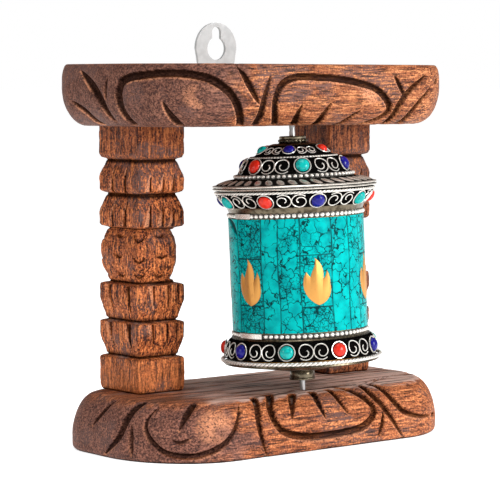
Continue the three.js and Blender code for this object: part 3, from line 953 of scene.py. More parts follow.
TOP_END_CUTS = (
    Stroke(((-162, 20), (-153, 25.3), (-147, 34)), 4.2, 1.9),
    Stroke(((-153, 4.5), (-138.5, 16.4), (-131.4, 32)), 5.6, 2.3),
    Stroke(((-130, 7.6), (-131.8, 12.4), (-132.2, 18.5)), 2.0, 1.2),
)
TOP_FRONT_CUTS = (
    Stroke(((-119, 33.5), (-122.3, 23.5), (-121.9, 13.5), (-117.9, 8.4), (-106.4, 6.4),
            (-94.2, 5.5), (-82.7, 6.4), (-73.6, 8.6), (-63.3, 14.8), (-56.2, 23), (-47.5, 38)),
           4.6, 2.3),
    Stroke(((-97.7, 20), (-94.6, 26.6), (-88, 37)), 4.4, 1.9),
    Stroke(((-57.5, 1.6), (-50.6, 11.6), (-43.5, 21)), 4.0, 2.0),
    Stroke(((-37, 7), (-40.5, 19.5), (-40, 37)), 4.6, 2.1),
    Stroke(((-25, 39), (-32.6, 24), (-32.1, 14.5), (-26.9, 9.5), (-18.6, 7.4), (-5.5, 7.6),
            (7.9, 8.4), (21.8, 10.5), (33.2, 13.5), (40.8, 18.7), (44.6, 24), (42.5, 29), (29, 38)),
           4.0, 2.2),
    Stroke(((-15.4, 22), (-16.2, 29), (-13, 39.5)), 5.2, 2.2),
    Stroke(((3.5, 21), (0.6, 29), (0, 39.5)), 4.4, 2.1),
    Stroke(((25.5, 25), (19.4, 30.5), (14, 39)), 3.6, 1.8),
    Stroke(((46.4, 6.6), (50.3, 12.4), (53.8, 18)), 3.2, 1.8),
    Stroke(((70.5, 5.8), (58.2, 13.5), (51.4, 21.4), (47, 38)), 4.2, 2.0),
    Stroke(((75, 12.4), (62.5, 24.3), (57, 38)), 3.8, 1.8),
    Stroke(((80, 10.5), (88, 8.5)), 3.0, 2.4),
)
BASE_END_CUTS = (
    Stroke(((-137, 33), (-140.5, 24.8), (-146, 16.8)), 3.2, 1.5),
    Stroke(((-114.8, 34), (-119.8, 24.3), (-123.5, 13.6), (-134, 3.6)), 4.8, 2.3),
    Stroke(((-116.6, 20), (-115.5, 13.4), (-115, 5)), 2.6, 1.5),
)
BASE_FRONT_CUTS = (
    Stroke(((-103.6, 30.5), (-107.6, 23), (-106.9, 17.1), (-102.2, 11.2), (-95.9, 6.9),
            (-84.2, 5.2), (-73.6, 7.4), (-65, 11.9), (-57.5, 19.8), (-51.5, 31)), 3.4, 2.0),
    Stroke(((-81.5, 34), (-86.1, 26), (-89.6, 18.6)), 4.6, 1.6),
    Stroke(((-93.5, 13.6), (-89.2, 12.2), (-84, 14.4)), 2.2, 1.0),
    Stroke(((-38.5, 36.6), (-43.4, 18.3), (-39.5, 2.5)), 4.0, 2.0),
    Stroke(((-26, 39), (-33.8, 25.5), (-30.9, 16.1), (-23.5, 11.7), (-11.4, 9.2), (7.4, 9),
            (23.1, 10.4), (32.1, 15.2), (33.8, 21), (28.6, 27.6), (19.5, 37)), 4.2, 2.2),
    Stroke(((-13.6, 35.5), (-18.6, 27.6), (-21.4, 19.4)), 4.4, 2.0),
    Stroke(((-0.6, 35.5), (-1.6, 26.5), (0.6, 17.6)), 4.2, 2.0),
    Stroke(((10.6, 36), (12.2, 27.5), (16, 18.8)), 3.6, 1.8),
    Stroke(((33.4, 38.5), (35.2, 29), (39.5, 22.3), (45.4, 13.6), (53, 3)), 4.2, 2.1),
    Stroke(((41.2, 38), (47.4, 25.3), (54.4, 16.6), (66, 12.6), (79, 11.5)), 4.0, 2.0),
    Stroke(((40.4, 18), (38.7, 11.4), (36, 4.6)), 2.6, 1.6),
    Stroke(((80, 11.2), (90, 10.6)), 3.0, 2.6),
)
# Raised bosses, each as (run, rise, half its length, half its height).
BASE_BOSSES = ((-70.5, 19.5, 10.5, 9.5),)
TOP_BOSSES = ((-79.0, 17.0, 9.0, 6.5), (28.0, 18.0, 7.0, 6.0))


# ---------------------------------------------------------------- posts


@dataclass(frozen=True)
class Flute:
    """A wedge-shaped cut in two opposite faces of a post.

    It is given by where it is across the face, from -1 to 1, its heights, width and depth. The
    wide end is at foot or at head, and one of its two walls is steep. It is in the front and
    back faces, or in the two that face along the boards.
    """

    across: float
    foot: float
    head: float
    width: float = 4.4
    depth: float = 1.5
    pointed_below: bool = True
    on_ends: bool = False


@dataclass(frozen=True)
class Scale:
    """A scooped scale in the barrel: a smile-shaped lower edge with a hollow above it."""

    across: float
    height: float
    width: float = 10.6
    rise: float = 4.6
    depth: float = 1.5


@dataclass
class Post:
    """An upright of seven carved blocks, one above the other."""

    name: str
    seed: float
    columns: int = 236
    rows: int = 260
    corner_power: float = 30.0
    swell: float = 1.03
    barrel_powers: Point2 = (16.0, 2.6)
    barrel_foot: float = 56.8
    barrel_head: float = 84.3
    blocks: tuple[Point2, ...] = (
        (0.0, 0.93), (1.2, 0.975), (3.0, 1.0), (16.6, 1.0), (17.7, 0.97), (18.4, 0.80), (18.8, 0.80),
        (19.5, 0.845), (21.0, 0.86), (27.5, 0.985), (29.0, 1.0), (35.2, 1.0), (36.1, 0.98),
        (36.8, 0.80), (37.3, 0.80), (38.0, 0.85), (40.0, 0.87), (46.5, 0.985), (48.0, 1.0),
        (54.6, 1.0), (55.6, 0.98), (56.2, 0.76), (56.9, 0.74), (57.6, 0.79), (61.0, 0.88),
        (65.5, 0.965), (70.5, 0.995), (75.0, 0.985), (79.5, 0.93), (83.2, 0.82), (83.9, 0.76),
        (84.5, 0.75), (85.2, 0.95),
        (86.4, 1.0), (92.6, 1.0), (94.4, 0.975), (100.6, 0.835), (101.4, 0.80), (102.2, 0.79),
        (103.0, 0.95), (104.2, 1.0), (110.4, 1.0), (112.2, 0.975), (118.4, 0.835), (119.2, 0.80),
        (119.9, 0.80), (120.6, 0.95), (122.6, 1.0), (137.0, 1.0),
    )

    def cuts(self) -> list[Flute]:
        """The flutes of the four fluted blocks."""
        flutes = []
        for across, width in ((-0.90, 4.0), (-0.35, 6.2), (0.60, 6.8)):
            flutes.append(Flute(across, 22.0, 35.4, width, 2.0, True, True))
            flutes.append(Flute(across - 0.03, 40.5, 54.8, width, 2.1, True, True))
        for across, width in ((-0.35, 4.6), (0.31, 5.6), (0.72, 3.6)):
            flutes.append(Flute(across, 24.0, 35.6, width, 1.2, True))
            flutes.append(Flute(across + 0.06, 42.5, 54.8, width, 1.3, True))
        for across, width in ((-0.85, 4.0), (-0.25, 5.2), (0.40, 5.6)):
            flutes.append(Flute(across, 85.4, 99.6, width, 2.0, False, True))
            flutes.append(Flute(across, 103.2, 116.2, width, 2.1, False, True))
        for across, width in ((-0.43, 4.6), (0.15, 5.4), (0.60, 4.8)):
            flutes.append(Flute(across - 0.02, 85.6, 97.6, width, 1.2, False))
            flutes.append(Flute(across, 103.4, 112.6, width, 1.4, False))
        return flutes

    def scales(self) -> list[Scale]:
        """The scales of the barrel: three rows on the faces and on the corners between them."""
        rows = ((59.2, 60.8), (67.4, 70.6), (77.8, 81.0))
        found = []
        for on_corner, on_face in rows:
            found.append(Scale(-1.0, on_corner, depth=1.0))
            found.append(Scale(1.0, on_corner, depth=1.0))
            found.append(Scale(0.0, on_face - 1.4, 8.6, 4.0, 1.3))
        return found

    def build(self) -> bmesh.types.BMesh:
        """Returns the carved post."""
        low, high = (np.array(corner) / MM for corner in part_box(self.name))
        middle, half = (low + high)[:2] / 2, self.swell * (high - low)[:2] / 2
        bm, round_share, up = sheet(self.columns, self.rows)
        face = np.minimum(np.floor(round_share * 4), 3).astype(int)
        across = (round_share * 4 - face) * 2 - 1
        sign = np.where(face < 2, 1.0, -1.0)
        square = np.stack([sign * np.where(face % 2 == 0, across, 1.0),
                           sign * np.where(face % 2 == 0, -1.0, across)], axis=-1)
        height = up * (high[2] - low[2])
        barrel = np.clip(np.minimum(height - self.barrel_foot, self.barrel_head - height) / 0.8, 0, 1)
        lean = (square[:, 0] - square[:, 1]) / 2
        rounder = np.interp(lean, (-1.0, 1.0), self.barrel_powers)
        power = self.corner_power + (rounder - self.corner_power) * barrel
        shrink = (np.abs(square) ** power[:, None]).sum(-1) ** (-1.0 / power)
        levels, shares = np.array(self.blocks).T
        wobble = 0.5 * ripple(np.column_stack([square * 9, height * 0]), 14.0, self.seed)
        share = np.interp(height + wobble, levels, shares)
        flat = square * (shrink * share)[:, None] * half
        places = np.column_stack([flat + middle, height + low[2]])
        width = np.where(face % 2 == 0, half[0], half[1])
        depth, dark, wear_and_painted_light = self.carve(face, across, width, height)
        uneven = 0.26 * ripple(places, 6.0, self.seed) + 0.20 * ripple(places, 1.9, self.seed + 3)
        sunk = np.clip(depth + uneven, -0.1, None)
        inward = flat / np.linalg.norm(flat, axis=1)[:, None]
        shorter = np.clip(np.minimum(height, levels[-1] - height) / 0.5, 0.0, 1.0)
        places[:, :2] -= inward * (sunk * shorter)[:, None]
        move_to(bm, places)
        # Painted shade in the necks between the blocks and at the foot, where the post meets the board.
        groove = np.clip((0.865 - share) / 0.035, 0.0, 1.0) * (barrel < 0.6)
        foot = np.clip((0.9 - height) / 0.4, 0.0, 1.0)
        mark(bm, "carved", np.clip(np.maximum(dark, np.maximum(groove, foot)), 0.0, 1.0))
        # Painted light on the floors of the flutes.
        mark(bm, "wear_and_painted_light", wear_and_painted_light)
        close_tube(bm)
        return bm

    def carve(self, face: np.ndarray, across: np.ndarray, width: np.ndarray,
              height: np.ndarray) -> tuple[np.ndarray, np.ndarray, np.ndarray]:
        """Cuts the flutes and scales.

        Args:
            face: the face each place is on, counted from the front one anticlockwise.
            across: where each place is on its face, from -1 to 1.
            width: half the width of that face.
            height: the height of each place above the foot.

        Returns:
            How deep each place is cut, how much painted shade it gets, and how much painted light.
        """
        depth, dark, wear_and_painted_light = (np.zeros_like(across) for _ in range(3))
        for flute in self.cuts():
            tall = flute.head - flute.foot
            share = np.clip((height - flute.foot) / tall, 0.0, 1.0)
            open_share = share if flute.pointed_below else 1.0 - share
            inside = (height > flute.foot) & (height < flute.head) & (face % 2 == flute.on_ends)
            wide = flute.width * np.clip(open_share, 0.0, 1.0) ** 0.7 + 0.01
            from_wall = (across - flute.across) * width
            cut = np.clip(1.0 + from_wall / wide, 0.0, 1.0) * (from_wall < 0) * inside
            depth = np.maximum(depth, flute.depth * cut * np.clip(open_share * 3, 0, 1))
            # Painted shade on the part of each flute next to its steep wall; painted light on the rest of
            # its floor.
            start = 0.34 if flute.on_ends else 0.70
            dark = np.maximum(dark, 0.95 * np.clip((cut - start) / 0.22, 0.0, 1.0))
            wear_and_painted_light = np.maximum(wear_and_painted_light, 0.7 * (cut > 0.05) * (cut < start))
        for scale in self.scales():
            x = (across - scale.across) * width
            lower = scale.height + 0.11 * x**2
            above = (height - lower) / scale.rise
            inside = (np.abs(x) < scale.width / 2) & (above > 0) & (above < 1)
            fade = np.clip((1.0 - np.abs(x) / (scale.width / 2)) * 3.0, 0.0, 1.0)
            depth = np.maximum(depth, scale.depth * (1.0 - above) * inside * fade)
            # Painted shade along the lower edge of each scale, under its lip.
            line = np.exp(-((height - lower - 0.25) / (0.30 + 0.25 * fade)) ** 2) * fade
            dark = np.maximum(dark, line * (np.abs(x) < scale.width / 2))
        return depth, dark, wear_and_painted_light

    def dress(self, material: bpy.types.Material) -> None:
        """Finishes the post as a piece."""
        finish_piece(f"{self.name}_carved", self.build(), Body.STAND, material,
                     (self.name,), sharp=60.0)


# ---------------------------------------------------------------- the wheel's frame

FRONT = math.radians(-128.8)


def axle_frame() -> Matrix:
    """The place of the axle's foot, with its own upright axis leaning as the joint does."""
    joint = frame["record"]["behaviour"]["joints"][0]
    lean = Vector(joint["axis"])
    turn = Vector((0.0, 0.0, 1.0)).rotation_difference(lean).to_matrix().to_4x4()
    return Matrix.Translation(Vector(joint["pos_m"]) / MM) @ turn


AXLE = axle_frame()


def finish_wheel_piece(name: str, bm: bmesh.types.BMesh, material: bpy.types.Material,
                       stands_for: Sequence[str] = (), sharp: float = 40.0) -> None:
    """Finishes a piece that was shaped round the axle."""
    bmesh.ops.transform(bm, matrix=AXLE, verts=bm.verts)
    finish_piece(name, bm, Body.WHEEL, material, stands_for, sharp)


def finish_silver(name: str, bm: bmesh.types.BMesh, material: bpy.types.Material,
                  *stands_for: str) -> None:
    """Finishes one of the wheel's silver pieces."""
    finish_wheel_piece(name, bm, material, stands_for)


def facing(degrees: float) -> float:
    """Turns degrees from the wheel's front into an angle round the axle."""
    return FRONT + math.radians(degrees)


def around(radius: np.ndarray, angle: np.ndarray, height: np.ndarray) -> np.ndarray:
    """Places round the axle, from their distances from it, their angles and their heights."""
    parts = np.broadcast_arrays(radius * np.cos(angle), radius * np.sin(angle), height)
    return np.stack(parts, axis=-1)


def gather(parts: Sequence[bmesh.types.BMesh]) -> bmesh.types.BMesh:
    """Puts several shapes into one, and uses them up."""
    whole = bmesh.new()
    for part in parts:
        mesh = bpy.data.meshes.new("part")
        part.to_mesh(mesh)
        part.free()
        whole.from_mesh(mesh)
        bpy.data.meshes.remove(mesh)
    return whole


def round_bar(path: np.ndarray, normal: np.ndarray, radius: float,
              closed: bool = False) -> bmesh.types.BMesh:
    """A wire that follows a path.

    Args:
        path: the points along its middle.
        normal: the way up from the surface that it lies on, at each point.
        radius: its radius.
        closed: whether its two ends meet.

    Returns:
        The wire.
    """
    bm, along, about = sheet(len(path) - 1, WIRE_SIDES)
    step = np.gradient(path, axis=0)
    if closed:
        step[0] = step[-1] = path[1] - path[-2]
    step /= np.linalg.norm(step, axis=1)[:, None]
    side = np.cross(step, normal)
    side /= np.linalg.norm(side, axis=1)[:, None]
    index = np.rint(along * (len(path) - 1)).astype(int)
    angle = about[:, None] * TURN
    move_to(bm, path[index] + radius * (np.cos(angle) * side[index] + np.sin(angle) * normal[index]))
    close_tube(bm)
    return bm


def lapped_strip(columns: int, sweep: Point2, radius: Callable[[np.ndarray], np.ndarray],
                 heights: Point2) -> bmesh.types.BMesh:
    """A strip of sheet metal bent round the axle, whose far end may lie over something.

    Args:
        columns: how many faces it has from end to end.
        sweep: where it starts and ends, in degrees from the wheel's front.
        radius: its distance from the axle, for each share of the way along it.
        heights: its lowest and highest heights.

    Returns:
        The strip.
    """
    bm, across, up = sheet(columns, 4)
    angle = facing(0.0) + np.radians(sweep[0] + across * (sweep[1] - sweep[0]))
    move_to(bm, around(radius(across), angle, heights[0] + up * (heights[1] - heights[0])))
    face_outwards(bm)
    bmesh.ops.solidify(bm, geom=bm.faces, thickness=SHEET_METAL)
    face_outwards(bm)
    return bm


@dataclass(frozen=True)
class BandFace:
    """The outward face of a turned band, from its foot to its head as (radius, height) points."""

    profile: tuple[Point2, ...]

    def curve(self) -> tuple[np.ndarray, np.ndarray]:
        """The distance up the face, and the radius and height there."""
        points = bowed(self.profile, 60)
        run = np.concatenate([[0.0], np.cumsum(np.linalg.norm(np.diff(points, axis=0), axis=1))])
        return run, points

    def length(self) -> float:
        """How long the face is from foot to head."""
        return float(self.curve()[0][-1])

    def at(self, angle: np.ndarray, rise: np.ndarray,
           lift: float = 0.0) -> tuple[np.ndarray, np.ndarray]:
        """Places on the face.

        Args:
            angle: the angles round the axle, in radians.
            rise: the distances up the face.
            lift: how far off the face the places are.

        Returns:
            The places, and the way outwards at each.
        """
        run, points = self.curve()
        slope = np.gradient(points, axis=0)
        slope /= np.linalg.norm(slope, axis=1)[:, None]
        radius = np.interp(rise, run, points[:, 0])
        height = np.interp(rise, run, points[:, 1])
        out = np.interp(rise, run, slope[:, 1])
        up = -np.interp(rise, run, slope[:, 0])
        size = np.hypot(out, up)
        normal = around(out, angle, up) / size[..., None]
        return around(radius, angle, height) + lift * normal, normal

    def radius_at(self, rise: float) -> float:
        """The radius of the face at a distance up it."""
        run, points = self.curve()
        return float(np.interp(rise, run, points[:, 0]))


@dataclass(frozen=True)
class StoneRow:
    """A row of stones round a face, with wire curls in the gaps between them."""

    name: str
    face: BandFace
    count: int
    start: float
    rise: float
    stone_radius: float
    stones: tuple[Slot, ...]
    bezel_gap: float = 0.75
    wire: float = 0.27
    curl_radius: float = 4.0
    curl_turns: float = 1.5
    tail_above: bool = True
    nudges: tuple[Point2, ...] = ()

    def angle(self, index: float) -> float:
        """The angle round the axle of a stone, or between two of them."""
        nudge = dict(self.nudges).get(index, 0.0)
        return facing(self.start + 360.0 * index / self.count + nudge)

    def seat(self, index: int) -> Matrix:
        """The frame of a stone: its own upright axis points out of the face."""
        angle = np.array(self.angle(index))
        place, normal = self.face.at(angle, np.array(self.rise))
        across = Vector((-math.sin(angle), math.cos(angle), 0.0))
        out = Vector(normal)
        turn = Matrix((across, out.cross(across), out)).transposed().to_4x4()
        return Matrix.Translation(Vector(place)) @ turn

    def stone(self, index: int) -> bmesh.types.BMesh:
        """One domed stone in its seat."""
        r = self.stone_radius
        arc = [(r * math.cos(t), 0.55 + 0.66 * r * math.sin(t))
               for t in np.radians(np.linspace(0, 90, 10))]
        bm = turned([(0.0, -0.3), (r, -0.3), *arc], 28)
        merge(bm, bm.verts)
        face_outwards(bm)
        squash = 1.0 + 0.06 * noise.noise(Vector((index, self.start, self.rise)))
        bmesh.ops.scale(bm, vec=(squash, 2.0 - squash, 1.0), verts=bm.verts)
        bmesh.ops.transform(bm, matrix=self.seat(index), verts=bm.verts)
        return bm

    def bezel(self, index: int) -> bmesh.types.BMesh:
        """The wire ring round a stone, and the low wall that grips it."""
        r = self.stone_radius + self.bezel_gap
        angle = np.linspace(0, TURN, 33)
        ring = round_bar(around(r, angle, 0.3), np.tile((0.0, 0.0, 1.0), (33, 1)), self.wire, closed=True)
        s = self.stone_radius
        wall = turned([(s - 0.05, -0.3), (s + 0.2, -0.3), (s + 0.15, 0.45), (s - 0.1, 0.6)], 32)
        mark(ring, "hollow", np.zeros(len(ring.verts)))
        mark(wall, "hollow", np.ones(len(wall.verts)))
        both = gather([ring, wall])
        bmesh.ops.transform(both, matrix=self.seat(index), verts=both.verts)
        return both

    def curl(self, index: int, side: int) -> bmesh.types.BMesh:
        """One curl of wire, left or right of the middle of a gap."""
        turn = np.linspace(0.0, 1.0, 46)
        sweep = math.radians(48) + turn * self.curl_turns * TURN
        inward = np.clip((turn - 0.46) / 0.54, 0.0, 1.0)
        radius = self.curl_radius * (1.0 - 0.76 * inward**0.9)
        across = side * (self.curl_radius * 1.03 + radius * np.cos(sweep))
        up = radius * np.sin(sweep) * (1 if self.tail_above else -1)
        around = self.face.radius_at(self.rise)
        rise = np.clip(self.rise + up, 0.15, self.face.length() - 0.15)
        path, normal = self.face.at(self.angle(index + 0.5) + across / around, rise, self.wire * 0.7)
        return round_bar(path, normal, self.wire)

    def dress(self, finishes: Finishes, nodes: bool = True) -> None:
        """Finishes the stones, their bezels and the curls as pieces."""
        for index in range(self.count):
            slot = self.stones[index % len(self.stones)]
            node = f"{self.name}_stone_{index + 1}"
            finish_wheel_piece(f"{node}_cabochon", self.stone(index), finishes.stones[slot],
                               (node,) if nodes else ())
        bezels = gather([self.bezel(index) for index in range(self.count)])
        finish_silver(f"{self.name}_bezels", bezels, finishes.wire)
        curls = gather([self.curl(i, side) for i in range(self.count) for side in (-1, 1)])
        finish_silver(f"{self.name}_curls", curls, finishes.wire)


@dataclass(frozen=True)
class BeadRing:
    """A ring of beads on a strip, whose two ends may lap over each other."""

    name: str
    radius: float
    height: float
    count: int
    size: Point3
    strip: float = 0.0
    lap: tuple[float, float] | None = None

    def bead(self, angle: float) -> bmesh.types.BMesh:
        """One flattened bead."""
        bm = bmesh.new()
        bmesh.ops.create_uvsphere(bm, u_segments=8, v_segments=6, radius=1.0)
        bmesh.ops.scale(bm, vec=self.size, verts=bm.verts)
        bmesh.ops.rotate(bm, matrix=Matrix.Rotation(angle, 3, "Z"), verts=bm.verts)
        place = around(self.radius, angle, self.height)
        bmesh.ops.translate(bm, vec=Vector(place), verts=bm.verts)
        return bm

    def build(self) -> bmesh.types.BMesh:
        """Returns the ring."""
        parts, dark = [], []
        for index in range(self.count):
            degrees = 360.0 * index / self.count - 180.0
            if self.lap and self.lap[0] < degrees < self.lap[1]:
                continue
            parts.append(self.bead(facing(degrees)))
        if self.lap:
            parts.append(self.lapped_end())
        if self.strip:
            half = self.size[2] + 0.12
            r, h = self.radius, self.height
            dark.append(turned([(r - 0.9, h - half), (r - self.strip, h - half),
                                (r - self.strip, h + half), (r - 0.9, h + half)], 96))
        for part in parts:
            mark(part, "hollow", np.zeros(len(part.verts)))
        for part in dark:
            mark(part, "hollow", np.full(len(part.verts), 0.9))
        return gather(parts + dark)

    def lapped_end(self) -> bmesh.types.BMesh:
        """The plain end of the strip, lying over the other one."""
        half = self.size[2] + 0.15
        return lapped_strip(24, self.lap, lambda across: self.radius + 0.25 + 0.35 * across**4,
                            (self.height - half, self.height + half))


@dataclass(frozen=True)
class TwistedWire:
    """Two strands of wire twisted together and laid round the wheel."""

    radius: float
    height: float
    wire: float
    strands: int

    def build(self) -> bmesh.types.BMesh:
        """Returns the twisted ring."""
        bm, along, about = sheet(self.strands * 6, 12)
        turn = about * TURN
        twist = along * self.strands * math.pi
        swell = self.wire * (0.62 + 0.38 * np.abs(np.cos(turn - twist)))
        angle = along * TURN
        out = self.radius + swell * np.cos(turn)
        move_to(bm, around(out, angle, self.height + swell * np.sin(turn)))
        mark(bm, "hollow", np.clip(1.0 - np.abs(np.cos(turn - twist)) * 2.4, 0.0, 1.0))
        merge(bm, bm.verts)
        face_outwards(bm)
        return bm


UPPER_FACE = BandFace(((34.9, 95.4), (36.4, 97.4), (38.3, 99.5), (40.9, 103.3)))
LOWER_FACE = BandFace(((39.4, 18.9), (39.3, 20.6), (38.7, 24.8), (37.2, 27.6), (34.8, 29.4)))
TIER_FACE = BandFace(((29.1, 112.6), (28.1, 114.6), (26.9, 117.4), (25.3, 119.4), (22.7, 120.9)))
CROWN_FACE = BandFace(((21.6, 121.5), (19.4, 122.4), (17.4, 124.4), (13.6, 126.4), (8.8, 127.9)))


@dataclass
class Drum:
    """The turquoise drum with its brass flames, its tube and its roll of paper."""

    radius: float = 35.0
    wall: float = 1.1
    foot: float = 32.8
    head: float = 90.6
    flames: int = 6
    first_flame: float = -46.0
    flame_pitch: float = 60.8
    flame_middle: float = 58.6
    flame_column: float = 13.7
    flame_sheet: float = 0.55
    strips: tuple[float, ...] = (15.0, 18.4, 16.2, 17.3, 15.6)
    above_flame: float = 70.6
    below_flame: float = 46.8
    joint_width: float = 0.38
    joint_depth: float = 0.16
    columns: int = 600
    rows: int = 150

    def joints(self) -> np.ndarray:
        """Where the upright joints are, in degrees from the front."""
        found = []
        for index in range(self.flames):
            middle = self.first_flame + index * self.flame_pitch
            found += [middle - self.flame_column, middle + self.flame_column]
            if index < len(self.strips):
                found.append(middle + self.flame_column + self.strips[index])
        return np.sort(found)

    def tiles(self, degrees: np.ndarray, height: np.ndarray) -> tuple[np.ndarray, np.ndarray]:
        """Which tile each place is in, and how far it is from the nearest joint.

        Args:
            degrees: the angle of each place from the wheel's front.
            height: the height of each place.

        Returns:
            A number from 0 to 1 for each place's tile, and the distance to its nearest joint.
        """
        scale = math.radians(1.0) * self.radius
        wander = 0.35 * np.sin(height * 0.13 + np.round(degrees / 30.0)) / scale
        offset = (degrees + wander)[:, None] - self.joints()[None, :]
        offset = (offset + 180.0) % 360.0 - 180.0
        gap = np.abs(offset).min(axis=1) * scale
        behind = np.where(offset >= 0, offset, offset + 360.0)
        tile = behind.argmin(axis=1)
        code = tile * 3.0
        for index in range(self.flames):
            middle = self.first_flame + index * self.flame_pitch
            away = np.abs((degrees - middle + 180.0) % 360.0 - 180.0)
            inside = away < self.flame_column
            above, below = self.above_flame + 1.4 * (index % 2), self.below_flame - 1.1 * (index % 3)
            code = code + inside * ((height > above) * 1.0 + (height < below) * 2.0)
            line = np.minimum(np.abs(height - above), np.abs(height - below))
            gap = np.where(inside, np.minimum(gap, line), gap)
        number = np.modf(np.abs(np.sin(code * 12.9898 + 6.05) * 46.68))[0]
        return number, gap

    def shell(self) -> bmesh.types.BMesh:
        """The ring of tiles, with a fine groove along every joint."""
        bm, round_share, up = sheet(self.columns, self.rows)
        degrees = round_share * 360.0 - 180.0
        edge = 2.0 / self.rows
        height = self.foot + np.clip((up - edge) / (1 - 2 * edge), 0, 1) * (self.head - self.foot)
        tile, gap = self.tiles(degrees, height)
        joint = np.clip(1.0 - gap / self.joint_width, 0.0, 1.0)
        crack = self.crack(degrees, height)
        turned_in = np.clip((edge - np.minimum(up, 1 - up)) / edge, 0.0, 1.0)
        radius = self.radius - self.joint_depth * joint - 0.5 * crack - self.wall * turned_in
        radius += 0.05 * np.sin(tile * 40.0)
        angle = facing(0.0) + np.radians(degrees)
        move_to(bm, around(radius, angle, height))
        mark(bm, "joint", np.maximum(np.clip(joint * 2.0, 0, 1), crack))
        mark(bm, "tile", tile)
        close_seam(bm)
        close_ring(bm)
        return bm

    def crack(self, degrees: np.ndarray, height: np.ndarray) -> np.ndarray:
        """The open crack at the drum's upper edge, from 0 to 1."""
        drop = np.clip((self.head - height) / 9.0, 0.0, 1.0)
        middle = -80.0 + 19.0 * drop**0.45
        width = 3.0 * np.clip(1.0 - drop**2, 0.0, 1.0) + 1e-6
        return np.clip(2.0 - np.abs(degrees - middle) / width, 0.0, 1.0) * (drop < 1.0)

    def flame_outline(self) -> list[Point2]:
        """The outline of a three-tongued flame, 24 mm tall and 15 mm wide."""
        arcs = [
            ((0.4, -12), (5.4, -11), (8.4, -6.4), (7, -1.4)),
            ((7, -1.4), (7.2, 1.0), (6.6, 3.2), (5.4, 5.4)),
            ((5.4, 5.4), (5.0, 3.6), (4.2, 2.2), (3.2, 1)),
            ((3.2, 1), (3.8, 5), (3, 9), (-1, 12)),
            ((-1, 12), (0, 8), (-2.6, 6), (-3.4, 2.4)),
            ((-3.4, 2.4), (-4.2, 2.9), (-4.9, 3.8), (-5.6, 5)),
            ((-5.6, 5), (-8.6, 0), (-8, -8), (0.4, -12)),
        ]
        outline = []
        for a, b, c, d in (np.array(arc) for arc in arcs):
            for t in np.linspace(0.0, 1.0, 10, endpoint=False):
                outline.append(tuple((1 - t) ** 3 * a + 3 * t * (1 - t) ** 2 * b
                                     + 3 * t**2 * (1 - t) * c + t**3 * d))
        return outline

    def flame(self, index: int) -> bmesh.types.BMesh:
        """One brass flame, cut from sheet, crowned and bent round the drum."""
        bm = bmesh.new()
        rim = [bm.verts.new((x, y, 0.0)) for x, y in self.flame_outline()]
        face = bm.faces.new(rim)
        raised = bmesh.ops.extrude_face_region(bm, geom=[face])["geom"]
        top = [item for item in raised if isinstance(item, bmesh.types.BMFace)]
        moved = [item for item in raised if isinstance(item, bmesh.types.BMVert)]
        bmesh.ops.translate(bm, vec=(0, 0, self.flame_sheet), verts=moved)
        bmesh.ops.inset_region(bm, faces=top, thickness=0.28, depth=0.16, use_even_offset=True)
        for x in np.arange(-7.5, 7.6, 0.75):
            bmesh.ops.bisect_plane(bm, geom=bm.verts[:] + bm.edges[:] + bm.faces[:], dist=1e-5,
                                   plane_co=(x, 0, 0), plane_no=(1, 0, 0))
        middle = facing(self.first_flame + index * self.flame_pitch)
        flat = np.array([vertex.co for vertex in bm.verts])
        edge = np.where(flat[:, 2] < 0.6, 0.55, 0.0)
        angle = middle + flat[:, 0] / self.radius
        radius = self.radius - 0.5 + flat[:, 2]
        move_to(bm, around(radius, angle, flat[:, 1] + self.flame_middle))
        mark(bm, "hollow", edge)
        face_outwards(bm)
        return bm

    def dress(self, finishes: Finishes) -> None:
        """Finishes the drum's pieces."""
        finish_wheel_piece("turquoise_drum", self.shell(), finishes.mosaic,
                           ("turquoise_shell",), sharp=60.0)
        for index in range(self.flames):
            finish_wheel_piece(f"brass_flame_inlay_{index + 1}", self.flame(index),
                               finishes.brass, (f"brass_flame_{index + 1}",), sharp=35.0)
        dress_node("drum_tube", finishes.brass)
        dress_node("mantra_roll", finishes.paper)


